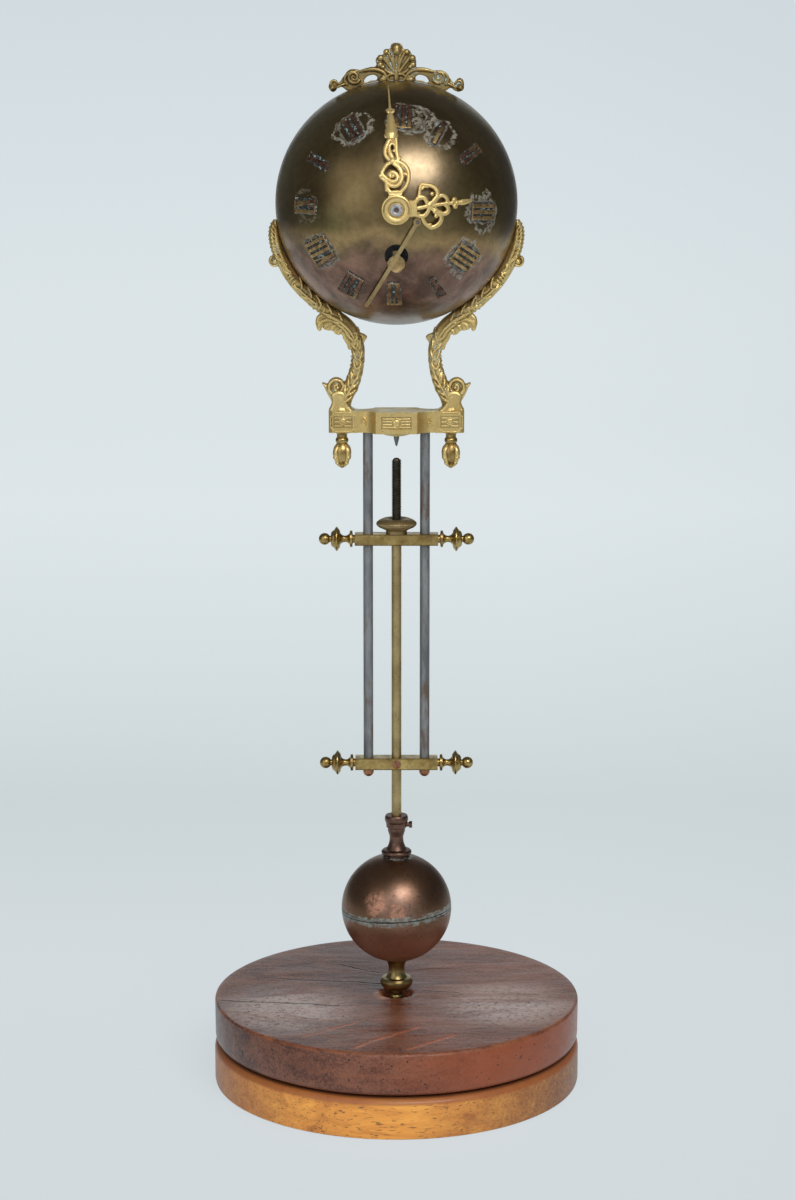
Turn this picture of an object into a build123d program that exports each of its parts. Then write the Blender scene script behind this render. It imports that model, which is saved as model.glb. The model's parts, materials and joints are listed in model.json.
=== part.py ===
from build123d import *
import os
from math import asin, atan2, cos, degrees, pi, radians, sin, sqrt

# Ball clock on a gridiron rod, standing by its bob on a turned wooden stand.
# Millimetres, +Z up, front towards -Y, origin at the middle of the stand's underside.

# Fits, as radial gaps or gaps between faces
turning_fit = 0.05
press_gap = 0.02
seat_gap = 0.05
safe_gap = 0.35

# Wooden stand
stand_radius = 90.4
lower_disc_height = 20.6
upper_disc_height = 21.5
stand_edge_round = 1.6
foot_recess_radius = 7.6
foot_recess_depth = 4.5
foot_stud_depth = 12.0

# Bob and its turned fittings
bob_radius = 27.1
bob_wall = 1.4
bob_above_stand = 44.4
foot_disc_radius = 7.9
foot_neck_radius = 4.05
foot_seat_radius = 8.0
foot_stud_radius = 2.6
neck_height = 19.9
neck_radius = 3.4
neck_collar_radius = 5.75
neck_flange_radius = 7.4
neck_screw_radius = 1.1

# Rods and crossbars
centre_rod_radius = 2.4
centre_rod_above_bar = 36.8
thread_length = 46.0
thread_radius = 2.25
steel_rod_radius = 2.37
steel_rod_spacing = 27.4
bar_length = 40.2
bar_depth = 8.6
lower_bar_height = 5.8
upper_bar_height = 5.5
bar_edge = 0.4
bar_above_neck = 23.6
bar_spacing = 111.2
rivet_radius = 2.6
rivet_height = 4.0
rivet_rim = 1.6
clamp_screw_radius = 2.1
finial_length = 17.4
finial_disc_radius = 5.9
finial_ball_radius = 2.85
finial_stud_radius = 1.6
finial_stud_length = 4.0

# Regulating nut
nut_radius = 9.8
nut_hub_radius = 5.1
nut_hub_height = 1.7
nut_rim_height = 2.6
nut_height = 7.8

# Bracket under the arms
bracket_above_bar = 49.4
bracket_height = 10.4
bracket_width = 64.7
bracket_block_width = 13.7
bracket_block_depth = 11.6
bracket_web_depth = 9.4
bracket_centre_width = 20.8
bracket_centre_depth = 21.0
bracket_apron = 2.3
bracket_bevel = 1.7
rod_socket_depth = 6.0
spike_radius = 1.3
spike_length = 4.9
drop_length = 17.6
drop_radius = 4.2
drop_stud_radius = 1.7
spike_socket = 8.0

# Ball case
ball_radius = 57.15
ball_wall = 0.95
ball_above_bracket = 98.05
pole_to_band = 45.15
band_back = 6.0
band_thickness = 3.2
pole_hole_radius = 4.3

# Arms
arm_tip_angle = 6.8
arm_knee_angle = 62.0
arm_tip_width = 2.9
arm_knee_width = 6.4
arm_foot_x = 26.1
arm_foot_width = 12.9
arm_screw_angle = 25.0
case_screw_radius = 1.0
case_screw_head_radius = 2.0
case_screw_head_height = 1.4

# Crown
crown_height = 17.1
crown_half_angle = 31.0
crown_band = 3.0
crown_depth = 7.0

# Movement, measured from the ball's centre, heights counted towards the front
plate_thickness = 1.5
plate_clearance = 3.0
plate_gap = 20.0
pillar_radius = 2.2
pillar_edge = 6.0
plate_screw_head_radius = 2.4
plate_screw_head_height = 1.2
pivot_radius = 0.8
arbor_radius = 1.6
hand_arbor_radius = 1.28
slim_radius = 0.65
slim_pivot_radius = 0.45
stud_radius = 1.0
end_shake = 0.2
cannon_pipe_radius = 2.0
hour_pipe_radius = 3.2
plate_screw_radius = 1.1
pillar_angles = (30, 150, 225, 315)
lug_angles = (30, 150, 270)
lug_inset = 4.75
lug_radius = 3.4
lug_thickness = 2.0
lug_screw_radius = 1.1
train_module = 0.4
fast_module = 0.36
drive_module = 0.665
motion_module = 0.5
great_teeth = 54
centre_leaves = 10
centre_teeth = 72
third_leaves = 6
third_teeth = 60
escape_leaves = 6
escape_teeth = 30
cannon_leaves = 12
minute_teeth = 36
minute_leaves = 10
hour_teeth = 40
ratchet_teeth = 24
ratchet_radius = 6.2
ratchet_tooth = 0.9
click_gap = 2
wheel_thickness = 1.2
barrel_radius = 14.0
barrel_wall = 0.9
barrel_height = 9.0
spring_turns = 7
spring_thickness = 0.4
winding_core_radius = 3.0
winding_square = 3.4
pole_to_square = 15.15
winding_mouth_radius = 5.4
scoop_radius = 4.1
scoop_length = 9.2
scoop_thickness = 0.7
scoop_curve = 9.0
scoop_drop = 3.7
scoop_tilt = 41.4
third_offset = 9.0
minute_wheel_angle = 135.0
escape_radius = 9.0
pendulum_rod_length = 38.0
pendulum_bob_radius = 8.0
pendulum_to_plate = 7.0

# Hands, curved to the ball
hand_thickness = 1.0
pointer_clearance = 1.05
pointer_thickness = 0.7
hour_clearance = 2.35
minute_clearance = 4.15
hub_radius = 6.95
hub_rise = 1.3
hand_screw_radius = 2.8
minute_hand_length = 55.2
minute_hand_angle = 3.8
hour_hand_length = 34.4
hour_hand_angle = 82.0
pointer_length = 45.9
pointer_angle = 210.5
pointer_width = 1.8
pointer_stud_x = 9.5
pointer_stud_drop = 5.6
pointer_stud_radius = 0.9

# Heights of the stack, from the floor up
stand_top = lower_disc_height + upper_disc_height
bob_z = stand_top + bob_above_stand
neck_base = bob_z + sqrt(bob_radius ** 2 - neck_flange_radius ** 2)
neck_top = bob_z + bob_radius + neck_height
lower_bar_z = neck_top + bar_above_neck
upper_bar_z = lower_bar_z + bar_spacing
upper_bar_top = upper_bar_z + upper_bar_height
rod_top = upper_bar_top + centre_rod_above_bar
bracket_z = upper_bar_top + bracket_above_bar
bracket_top = bracket_z + bracket_height
ball_z = bracket_top + ball_above_bracket
foot_recess_z = stand_top - foot_recess_depth
foot_seat_z = bob_z - sqrt(bob_radius ** 2 - foot_seat_radius ** 2)
rod_bottom = foot_recess_z + 10.0

# Ball case from the inside
shell_inner = ball_radius - ball_wall
band_front = ball_radius - pole_to_band
band_inner = shell_inner - seat_gap - band_thickness
lug_ring = band_inner - lug_inset

# Heights of the movement's layers, towards the front
back_plate_h = band_front
pendulum_height = back_plate_h - pendulum_to_plate
front_plate_h = back_plate_h + plate_thickness + plate_gap
plates_inside = back_plate_h + plate_thickness
plates_outside = front_plate_h + plate_thickness
back_plate_radius = sqrt(shell_inner ** 2 - plates_inside ** 2) - plate_clearance
front_plate_radius = sqrt(shell_inner ** 2 - plates_outside ** 2) - plate_clearance
pillar_ring = front_plate_radius - pillar_edge
centre_wheel_h = plates_inside + 1.0
great_wheel_h = plates_inside + 3.5
great_wheel_thickness = 1.8
barrel_h = great_wheel_h + great_wheel_thickness
third_wheel_h = plates_inside + 7.5
escape_wheel_h = plates_inside + 10.5
ratchet_h = plates_outside + 0.4
cannon_h = plates_outside + 1.5
minute_pinion_h = cannon_h + wheel_thickness + 0.3
hour_wheel_h = minute_pinion_h + 0.8

# Centres of the movement's arbors, as (right, up) from the ball's centre
winding_drop = drive_module * (great_teeth + centre_leaves) / 2
winding_at = (0.0, -winding_drop)
third_distance = train_module * (centre_teeth + third_leaves) / 2
third_at = (-third_offset, sqrt(third_distance ** 2 - third_offset ** 2))
escape_distance = fast_module * (third_teeth + escape_leaves) / 2
escape_at = (0.0, third_at[1] + sqrt(escape_distance ** 2 - third_offset ** 2))
pallet_at = (0.0, escape_at[1] + escape_radius * sqrt(2))
motion_distance = motion_module * (cannon_leaves + minute_teeth) / 2
minute_aim = radians(minute_wheel_angle)
minute_at = (motion_distance * cos(minute_aim), motion_distance * sin(minute_aim))
hour_module = 2 * motion_distance / (minute_leaves + hour_teeth)
hub_base = ball_radius + minute_clearance
scoop_at = (0.0, winding_at[1] - scoop_drop)
scoop_rim_h = sqrt(ball_radius ** 2 - (abs(scoop_at[1]) + scoop_radius) ** 2)
winding_front = ball_radius - pole_to_square
click_at = (winding_at[0] - 0.4, winding_at[1] + 8.9)

movement_frame = Pos(0, 0, ball_z) * Rot(90, 0, 0)


def save(name, *solids):
    """Write one sub-part, one solid or a group of identical ones."""
    shape = solids[0] if len(solids) == 1 else Compound(children=list(solids))
    export_step(shape, f"parts/{name}.step")


def turned(*edges):
    """Solid of revolution about Z from edges drawn as (radius, 0, height)."""
    return revolve(Face(Wire(list(edges))), Axis.Z)


def flat_face(*edges):
    """Flat face in the XY plane that looks up, whichever way its edges run."""
    face = Face(Wire(list(edges)))
    return face if face.normal_at().Z > 0 else -face


def dome(radius, base, height):
    """Arc from the rim of a round cap to its middle, centred on the axis; height may be negative."""
    curve = (radius ** 2 + height ** 2) / (2 * abs(height))
    sign = 1 if height > 0 else -1
    half = asin(min(1.0, radius / curve)) / 2
    if abs(height) > radius:
        half = (pi - asin(radius / curve)) / 2
    middle = base + height - sign * curve
    crest = p(curve * sin(half), middle + sign * curve * cos(half))
    return ThreePointArc(p(radius, base), crest, p(0, base + height))


def p(radius, height):
    return (radius, 0, height)


def tube(outer, inner, length):
    return extrude(Circle(outer) - Circle(inner), length)


def rod(radius, length):
    return extrude(Circle(radius), length)


def ribbon(points, widths, share=1.0):
    """Tapering flat band with round ends, its middle line through the points; share scales it all."""
    points = [(x * share, y * share) for x, y in points]
    widths = [width * share for width in widths]
    left = []
    right = []
    last = len(points) - 1
    for i, (x, y) in enumerate(points):
        ahead = points[min(i + 1, last)]
        behind = points[max(i - 1, 0)]
        dx, dy = ahead[0] - behind[0], ahead[1] - behind[1]
        half = widths[i] / 2 / sqrt(dx * dx + dy * dy)
        left.append((x - dy * half, y + dx * half))
        right.append((x + dy * half, y - dx * half))
    band = Sketch() + flat_face(smooth(left), Line(left[-1], right[-1]),
                                smooth(right[::-1]), Line(right[0], left[0]))
    for end in (0, last):
        band += Pos(*points[end]) * Circle(widths[end] / 2)
    return band


def smooth(points):
    return Line(*points) if len(points) == 2 else Spline(*points)


def ring(x, y, outer, inner):
    return Pos(x, y) * (Circle(outer) - Circle(inner))


def both_sides(flat):
    return flat + mirror(flat, about=Plane.YZ)


def upright(flat, depth):
    """Stand a flat outline up in the XZ plane and thicken it both ways."""
    return extrude(Plane.XZ * flat, depth / 2, both=True)


# Wooden stand

def lower_disc():
    disc = rod(stand_radius, lower_disc_height)
    return fillet(disc.edges().sort_by(Axis.Z)[-1], stand_edge_round)


def upper_disc():
    disc = Pos(0, 0, lower_disc_height) * rod(stand_radius, upper_disc_height)
    disc = fillet(disc.edges().sort_by(Axis.Z)[-1], stand_edge_round / 2)
    disc = chamfer(disc.edges().sort_by(Axis.Z)[0], stand_edge_round / 2)
    disc -= Pos(0, 0, foot_recess_z) * rod(foot_recess_radius, foot_recess_depth)
    stud_hole = rod(foot_stud_radius + turning_fit, foot_stud_depth)
    return disc - Pos(0, 0, foot_recess_z - foot_stud_depth) * stud_hole


# Bob, its foot and its neck

def bob_foot():
    """Turned finial that screws on the rod's end and stands in the recess."""
    z = foot_recess_z
    neck_z = foot_seat_z - 4.2
    disc_z = stand_top + 2.6
    shape = turned(
        Line(p(0, z - foot_stud_depth + 1), p(foot_stud_radius, z - foot_stud_depth + 1)),
        Line(p(foot_stud_radius, z - foot_stud_depth + 1), p(foot_stud_radius, z)),
        ThreePointArc(p(foot_stud_radius, z), p(3.5, z + 2.0), p(3.0, z + 4.0)),
        Line(p(3.0, z + 4.0), p(3.0, disc_z - 1.0)),
        Line(p(3.0, disc_z - 1.0), p(foot_disc_radius - 2.6, disc_z)),
        ThreePointArc(p(foot_disc_radius - 2.6, disc_z), p(foot_disc_radius - 0.3, disc_z + 1.9),
                      p(foot_disc_radius, disc_z + 4.6)),
        Line(p(foot_disc_radius, disc_z + 4.6), p(foot_disc_radius - 0.8, disc_z + 5.6)),
        Line(p(foot_disc_radius - 0.8, disc_z + 5.6), p(foot_neck_radius + 1.3, disc_z + 5.9)),
        ThreePointArc(p(foot_neck_radius + 1.3, disc_z + 5.9), p(foot_neck_radius, neck_z),
                      p(foot_seat_radius, foot_seat_z + 1.0)),
        Line(p(foot_seat_radius, foot_seat_z + 1.0), p(0, foot_seat_z + 1.0)),
        Line(p(0, foot_seat_z + 1.0), p(0, z - foot_stud_depth + 1)),
    )
    shape -= Pos(0, 0, bob_z) * Sphere(bob_radius + press_gap)
    return shape - Pos(0, 0, rod_bottom) * rod(centre_rod_radius + press_gap, bob_z)


def bob_shell(side):
    """One of the bob's two spun halves: side is 1 for the upper and -1 for the lower."""
    shell = Sphere(bob_radius) - Sphere(bob_radius - bob_wall)
    half = Pos(0, 0, side * bob_radius) * Box(4 * bob_radius, 4 * bob_radius, 2 * bob_radius)
    shell = shell & half
    shell -= rod(centre_rod_radius + turning_fit, 4 * bob_radius) + Pos(0, 0, -2 * bob_radius) * rod(
        centre_rod_radius + turning_fit, 4 * bob_radius)
    seam = turned(Line(p(bob_radius - 0.35, 0), p(bob_radius + 1, 0)),
                  Line(p(bob_radius + 1, 0), p(bob_radius + 1, side * 1.1)),
                  Line(p(bob_radius + 1, side * 1.1), p(bob_radius - 0.35, 0)))
    return Pos(0, 0, bob_z) * (shell - seam)


def bob_weight():
    ballast = Sphere(bob_radius - bob_wall - seat_gap)
    bore = Pos(0, 0, -bob_radius) * rod(centre_rod_radius + turning_fit, 2 * bob_radius)
    return Pos(0, 0, bob_z) * (ballast - bore)


def bob_neck():
    top = neck_top
    ring_r = neck_radius + 0.85
    flange_z = bob_z + bob_radius + 2.2
    shape = turned(
        Line(p(0, neck_base - 2), p(neck_flange_radius - 1.6, neck_base - 2)),
        Line(p(neck_flange_radius - 1.6, neck_base - 2), p(neck_flange_radius - 1.2, flange_z - 2.4)),
        ThreePointArc(p(neck_flange_radius - 1.2, flange_z - 2.4), p(neck_flange_radius, flange_z - 0.9),
                      p(neck_flange_radius - 1.4, flange_z + 0.3)),
        Line(p(neck_flange_radius - 1.4, flange_z + 0.3), p(neck_radius + 1.7, flange_z + 0.5)),
        ThreePointArc(p(neck_radius + 1.7, flange_z + 0.5), p(neck_radius + 0.35, flange_z + 3.4),
                      p(neck_radius, top - 10.6)),
        Line(p(neck_radius, top - 10.6), p(ring_r, top - 7.9)),
        Line(p(ring_r, top - 7.9), p(ring_r, top - 6.4)),
        Line(p(ring_r, top - 6.4), p(neck_collar_radius - 0.8, top - 6.0)),
        Line(p(neck_collar_radius - 0.8, top - 6.0), p(neck_collar_radius - 0.6, top - 3.8)),
        ThreePointArc(p(neck_collar_radius - 0.6, top - 3.8), p(neck_collar_radius, top - 2.0),
                      p(neck_collar_radius - 0.5, top)),
        Line(p(neck_collar_radius - 0.5, top), p(0, top)),
        Line(p(0, top), p(0, neck_base - 2)),
    )
    shape = Rot(0, 0, 90) * shape - Pos(0, 0, bob_z) * Sphere(bob_radius + press_gap)
    shape -= Pos(0, 0, neck_base - 3) * rod(centre_rod_radius + turning_fit, neck_height + 10)
    return shape - neck_screw_at() * Pos(0, 0, -1) * rod(neck_screw_radius + press_gap, 12)


def neck_screw_at():
    """Where the neck's side screw meets the rod, pointing out to the right."""
    return Pos(centre_rod_radius + turning_fit, 0, neck_top - 4.9) * Rot(0, 90, 0)


def bob_neck_screw():
    head = Pos(0, 0, neck_collar_radius - centre_rod_radius + 0.4)
    screw = rod(neck_screw_radius, neck_collar_radius - centre_rod_radius + 0.4)
    screw += head * extrude(RegularPolygon(1.7, 6), 1.5)
    return neck_screw_at() * screw


# Rods and crossbars

def centre_rod():
    """Brass rod from the foot to the threaded end above the upper crossbar."""
    plain_top = rod_top - thread_length
    return turned(
        Line(p(0, rod_bottom), p(centre_rod_radius, rod_bottom)),
        Line(p(centre_rod_radius, rod_bottom), p(centre_rod_radius, plain_top)),
        Line(p(centre_rod_radius, plain_top), p(thread_radius, plain_top + 0.4)),
        Line(p(thread_radius, plain_top + 0.4), p(thread_radius, rod_top - 1.2)),
        dome(thread_radius, rod_top - 1.2, 1.2),
        Line(p(0, rod_top), p(0, rod_bottom)),
    )


def crossbar(z, height):
    bar = Pos(0, 0, z + height / 2) * Box(bar_length, bar_depth, height)
    bar = chamfer(bar.edges().filter_by(Axis.X), bar_edge)
    bar -= Pos(0, 0, z) * rod(centre_rod_radius + turning_fit, height)
    for side in (-1, 1):
        bar -= Pos(side * steel_rod_spacing / 2, 0, z) * rod(steel_rod_radius + press_gap, height)
        socket = rod(finial_stud_radius + press_gap, finial_stud_length)
        bar -= Pos(side * bar_length / 2, 0, z + height / 2) * Rot(0, -90 * side, 0) * socket
    return bar


def lower_crossbar():
    hole = clamp_screw_at() * Pos(0, 0, -1) * rod(clamp_screw_radius + press_gap, bar_depth / 2)
    return crossbar(lower_bar_z, lower_bar_height) - hole


def clamp_screw_at():
    return Pos(0, -centre_rod_radius - turning_fit, lower_bar_z + lower_bar_height / 2) * Rot(90, 0, 0)


def clamp_screw():
    """Slotted screw in the lower bar's front that grips the centre rod."""
    length = bar_depth / 2 - centre_rod_radius - turning_fit - 0.3
    slot = Pos(0, 0, length) * Box(0.6, 3 * clamp_screw_radius, 1.2)
    return clamp_screw_at() * (rod(clamp_screw_radius, length) - Rot(0, 0, 20) * slot)


def steel_rod(side):
    """Steel rod from its socket in the bracket to the lower bar's underside."""
    length = bracket_z + rod_socket_depth - lower_bar_z
    return Pos(side * steel_rod_spacing / 2, 0, lower_bar_z) * rod(steel_rod_radius, length)


def rod_rivet(side):
    """Domed copper rivet that closes a steel rod's lower end."""
    head = turned(Line(p(0, 0), p(rivet_radius, 0)), Line(p(rivet_radius, 0), p(rivet_radius, -rivet_rim)),
                  dome(rivet_radius, -rivet_rim, rivet_rim - rivet_height), Line(p(0, -rivet_height), p(0, 0)))
    return Pos(side * steel_rod_spacing / 2, 0, lower_bar_z) * head


def bar_finial(side, z):
    """Turned end finial: collar, concave neck, beaded shoulder with a sharp disc, and ball."""
    ball_at = finial_length - finial_ball_radius
    stem = 1.5
    shape = turned(
        Line(p(0, -finial_stud_length + 0.2), p(finial_stud_radius, -finial_stud_length + 0.2)),
        Line(p(finial_stud_radius, -finial_stud_length + 0.2), p(finial_stud_radius, 0)),
        Line(p(finial_stud_radius, 0), p(2.0, 0)),
        Line(p(2.0, 0), p(2.0, 0.9)),
        Line(p(2.0, 0.9), p(4.05, 1.2)),
        Line(p(4.05, 1.2), p(4.05, 2.3)),
        ThreePointArc(p(4.05, 2.3), p(1.55, 4.6), p(4.1, 7.2)),
        Line(p(4.1, 7.2), p(finial_disc_radius, 8.5)),
        Line(p(finial_disc_radius, 8.5), p(finial_disc_radius, 9.0)),
        Line(p(finial_disc_radius, 9.0), p(4.2, 10.1)),
        ThreePointArc(p(4.2, 10.1), p(3.2, 11.3), p(stem, 11.5)),
        Line(p(stem, 11.5), p(stem, ball_at - sqrt(finial_ball_radius ** 2 - stem ** 2))),
        ThreePointArc(p(stem, ball_at - sqrt(finial_ball_radius ** 2 - stem ** 2)), p(finial_ball_radius, ball_at),
                      p(0, finial_length)),
        Line(p(0, finial_length), p(0, -finial_stud_length + 0.2)),
    )
    return Pos(side * bar_length / 2, 0, z) * Rot(0, 90 * side, 0) * shape


def regulating_nut():
    """Lens-shaped thumb nut on the rod's thread, resting on the upper bar."""
    r = nut_radius
    rim_z = nut_hub_height + 1.6
    shape = turned(
        Line(p(0, 0), p(nut_hub_radius, 0)),
        Line(p(nut_hub_radius, 0), p(nut_hub_radius, nut_hub_height)),
        ThreePointArc(p(nut_hub_radius, nut_hub_height), p(r * 0.84, rim_z - 0.9), p(r, rim_z)),
        Line(p(r, rim_z), p(r, rim_z + nut_rim_height)),
        ThreePointArc(p(r, rim_z + nut_rim_height), p(r * 0.62, nut_height - 0.35), p(thread_radius + 1.6, nut_height)),
        Line(p(thread_radius + 1.6, nut_height), p(0, nut_height)),
        Line(p(0, nut_height), p(0, 0)),
    )
    shape -= rod(thread_radius + turning_fit, nut_height)
    return Pos(0, 0, upper_bar_top) * shape


# Bracket, its spike and its drop finials

def bracket_plan():
    """Quarter of the breakfront outline, front right, closed on both axes."""
    block_in = bracket_width / 2 - bracket_block_width
    centre = bracket_centre_width / 2
    web = bracket_web_depth / 2
    block = bracket_block_depth / 2
    front = bracket_centre_depth / 2
    reach = bracket_width / 2
    edges = [
        Line((0, 0), (reach, 0)),
        Line((reach, 0), (reach, block - bracket_bevel)),
        Line((reach, block - bracket_bevel), (reach - bracket_bevel, block)),
        Line((reach - bracket_bevel, block), (block_in, block)),
        Line((block_in, block), (block_in, web)),
        ThreePointArc((block_in, web), ((block_in + centre) / 2 - 1.6, (web + front) / 2 - 1.6),
                      (centre, front - 0.6)),
        Line((centre, front - 0.6), (centre - 0.6, front)),
        Line((centre - 0.6, front), (0, front)),
        Line((0, front), (0, 0)),
    ]
    quarter = Sketch() + flat_face(*edges)
    half = both_sides(quarter)
    return half + mirror(half, about=Plane.XZ)


def bracket():
    body = Pos(0, 0, bracket_z) * extrude(bracket_plan(), bracket_height)
    sag_radius = bracket_centre_width / 2 - 1.2
    sag = turned(Line(p(0, 0), p(sag_radius, 0)), dome(sag_radius, 0, -bracket_apron),
                 Line(p(0, -bracket_apron), p(0, 0)))
    body += Pos(0, 0, bracket_z) * sag
    panel_z = bracket_z + bracket_height / 2
    panel_depth = 0.5
    for face_y in (-bracket_centre_depth / 2, bracket_centre_depth / 2):
        body -= Pos(0, face_y, panel_z) * Box(14.5, 2 * panel_depth, 6.2)
    for side in (-1, 1):
        x = side * (bracket_width / 2 - bracket_block_width / 2)
        for face_y in (-bracket_block_depth / 2, bracket_block_depth / 2):
            body -= Pos(x, face_y, panel_z) * Box(9.2, 2 * panel_depth, 5.6)
        socket = rod(steel_rod_radius + press_gap, rod_socket_depth)
        body -= Pos(side * steel_rod_spacing / 2, 0, bracket_z) * socket
        body -= Pos(side * arm_foot_x, 0, bracket_z) * rod(drop_stud_radius + press_gap, bracket_height)
    return body - Pos(0, 0, bracket_z - bracket_apron - 1) * rod(spike_radius + press_gap, spike_socket)


def pivot_spike():
    """Hardened point under the bracket, on which the clock hangs when it swings."""
    base = bracket_z - bracket_apron
    return turned(
        Line(p(0, base - spike_length), p(spike_radius * 0.35, base - spike_length + 0.5)),
        Line(p(spike_radius * 0.35, base - spike_length + 0.5), p(spike_radius, base - 1)),
        Line(p(spike_radius, base - 1), p(spike_radius, base - 1 + spike_socket)),
        Line(p(spike_radius, base - 1 + spike_socket), p(0, base - 1 + spike_socket)),
        Line(p(0, base - 1 + spike_socket), p(0, base - spike_length)),
    )


def drop_finial(side):
    """Acorn drop under an arm; its stud passes through the bracket into the arm's foot."""
    top = bracket_z
    tip = bracket_z - drop_length
    shape = turned(
        Line(p(0, top + bracket_height + 5), p(drop_stud_radius, top + bracket_height + 5)),
        Line(p(drop_stud_radius, top + bracket_height + 5), p(drop_stud_radius, top)),
        Line(p(drop_stud_radius, top), p(3.6, top)),
        Line(p(3.6, top), p(2.5, top - 1.2)),
        Line(p(2.5, top - 1.2), p(2.4, top - 2.6)),
        ThreePointArc(p(2.4, top - 2.6), p(3.1, top - 4.2), p(2.5, top - 5.6)),
        Line(p(2.5, top - 5.6), p(2.9, top - 6.1)),
        ThreePointArc(p(2.9, top - 6.1), p(drop_radius, top - 10.0), p(1.7, tip + 1.9)),
        dome(1.7, tip + 1.9, -1.9),
        Line(p(0, tip), p(0, top + bracket_height + 5)),
    )
    return Pos(side * arm_foot_x, 0, 0) * shape


# Arms and crown

def arm_share():
    """Scale of the arms' outline, drawn for a ball centre 98.05 mm above the bracket."""
    return ball_above_bracket / 98.05


def arm_flat():
    """Front outline of the right arm about the bracket's top, as (x, height)."""
    up = ball_above_bracket
    share = arm_share()
    grip = []
    widths = []
    steps = 8
    for i in range(steps):
        along = i / (steps - 1)
        angle = radians(-arm_tip_angle - (arm_knee_angle - arm_tip_angle) * along)
        width = arm_tip_width + (arm_knee_width - arm_tip_width) * along ** 0.6
        reach = ball_radius + width / 2 - 0.2
        grip.append((reach * cos(angle), up + reach * sin(angle)))
        widths.append(width)
    flat = ribbon(grip, widths)
    knee_x, knee_y = grip[-1]
    stem = [(knee_x + 2.6 * share, knee_y + 1.7 * share), (knee_x - 2.6 * share, knee_y - 2.9 * share)]
    for out, rise in ((-5.5, 33.6), (-7.8, 26.6), (-7.1, 20.0), (-5.1, 14.0), (-1.7, 8.4), (0, 3.4)):
        stem.append((arm_foot_x + out * share, rise * share))
    flat += ribbon(stem, [width * share for width in (5.0, 6.9, 7.2, 5.9, 6.4, 6.8, 7.6, 7.3)])
    curl = radians(-arm_tip_angle - 18.6)
    curl_reach = ball_radius + 5.4 * share
    flat += Pos(curl_reach * cos(curl), up + curl_reach * sin(curl)) * Circle(2.2 * share)
    flat += Pos(knee_x, knee_y) * ribbon([(1.0, -4.0), (6.4, -5.2)], [5.4, 1.0], share)
    flat += Pos(arm_foot_x, 0) * ribbon([(-6.5, 33.0), (-11.5, 35.0)], [4.6, 1.0], share)
    flat += Pos(arm_foot_x + 1.7 * share, 10.2 * share) * Circle(3.7 * share)
    flat += Pos(arm_foot_x, 0) * ribbon([(3.5, 9.8), (7.9, 12.2)], [3.6, 0.9], share)
    foot = Polyline((arm_foot_x - arm_foot_width / 2, 0), (arm_foot_x + arm_foot_width / 2, 0),
                    (arm_foot_x + 3.6, 3.0), (arm_foot_x - 3.6, 3.0), close=True)
    return flat + make_face(foot)


def arm_side():
    """Side outline of an arm: half depths against height above the bracket."""
    drawn = [(0, 5.6), (3.0, 4.2), (10.0, 4.4), (25.0, 3.4),
             (40.0, 4.7), (60.0, 4.4), (78.0, 3.6), (96.0, 2.2)]
    depths = [(z * arm_share(), d * arm_share()) for z, d in drawn]
    front = Spline(*[(d, z) for z, d in depths])
    back = Spline(*[(-d, z) for z, d in reversed(depths)])
    low, high = depths[0], depths[-1]
    return flat_face(front, Line((high[1], high[0]), (-high[1], high[0])), back,
                     Line((-low[1], low[0]), (low[1], low[0])))


def arm(side):
    shape = Pos(0, 0, bracket_top) * upright(arm_flat(), 4 * arm_foot_width)
    shape &= Pos(0, 0, bracket_top) * extrude(Plane.YZ * arm_side(), 2 * ball_radius)
    shape -= Pos(0, 0, ball_z) * Sphere(ball_radius + press_gap)
    shape -= Pos(arm_foot_x, 0, bracket_top - 1) * rod(drop_stud_radius + press_gap, 6 + press_gap)
    shape -= arm_screw_at() * rod(case_screw_radius + press_gap, ball_radius + 4)
    return shape if side > 0 else mirror(shape, about=Plane.YZ)


def arm_screw_at():
    """Line from the ball's centre out through the right arm."""
    return Pos(0, 0, ball_z) * Rot(0, 90 + arm_screw_angle, 0)


def case_screw():
    """Screw along +Z that clamps the case to a casting, its head inside the band."""
    head_at = shell_inner - 2 * seat_gap - band_thickness - case_screw_head_height
    screw = rod(case_screw_head_radius, case_screw_head_height)
    screw += rod(case_screw_radius, ball_radius + 3.8 - head_at)
    slot = Box(0.5, 3 * case_screw_head_radius, 0.8)
    return Pos(0, 0, head_at) * (screw - slot)


def crown_flat():
    """Front outline of the crown, drawn for a ball of 57.15 mm radius: shell fan, scrolls and base band."""
    share = ball_radius / 57.15
    half = crown_half_angle
    middle = ball_radius + crown_band / 2
    band = [(middle * sin(radians(a)), middle * cos(radians(a))) for a in (half, half / 2, 0.01)]
    flat = ribbon(band, [crown_band, crown_band + 0.4, crown_band + 0.8])
    scrolls = ribbon([(29.0, -1.6), (25.2, -1.2), (21.0, 2.8)], [2.0, 2.4, 2.6], share)
    for x, rise, radius in ((29.9, -2.95, 2.1), (19.6, 0.5, 3.9), (6.3, 1.9, 2.4)):
        scrolls += Pos(x * share, rise * share) * Circle(radius * share)
    scrolls += ribbon([(19.0, 4.2), (13.6, 3.6), (9.2, 7.4)], [2.4, 3.2, 3.6], share)
    scrolls += ribbon([(2.2, 2.0), (6.0, 7.0), (8.4, 10.2)], [3.0, 4.6, 4.2], share)
    scrolls += ribbon([(1.2, 2.0), (3.2, 9.0), (4.6, 12.8)], [3.0, 4.0, 4.0], share)
    flat = both_sides(flat + Pos(0, ball_radius) * scrolls)
    fan = [(0, 1.0 * share), (0, 9.0 * share), (0, crown_height - 2.3 * share)]
    return flat + Pos(0, ball_radius) * ribbon(fan, [5.0 * share, 4.4 * share, 4.6 * share])


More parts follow.
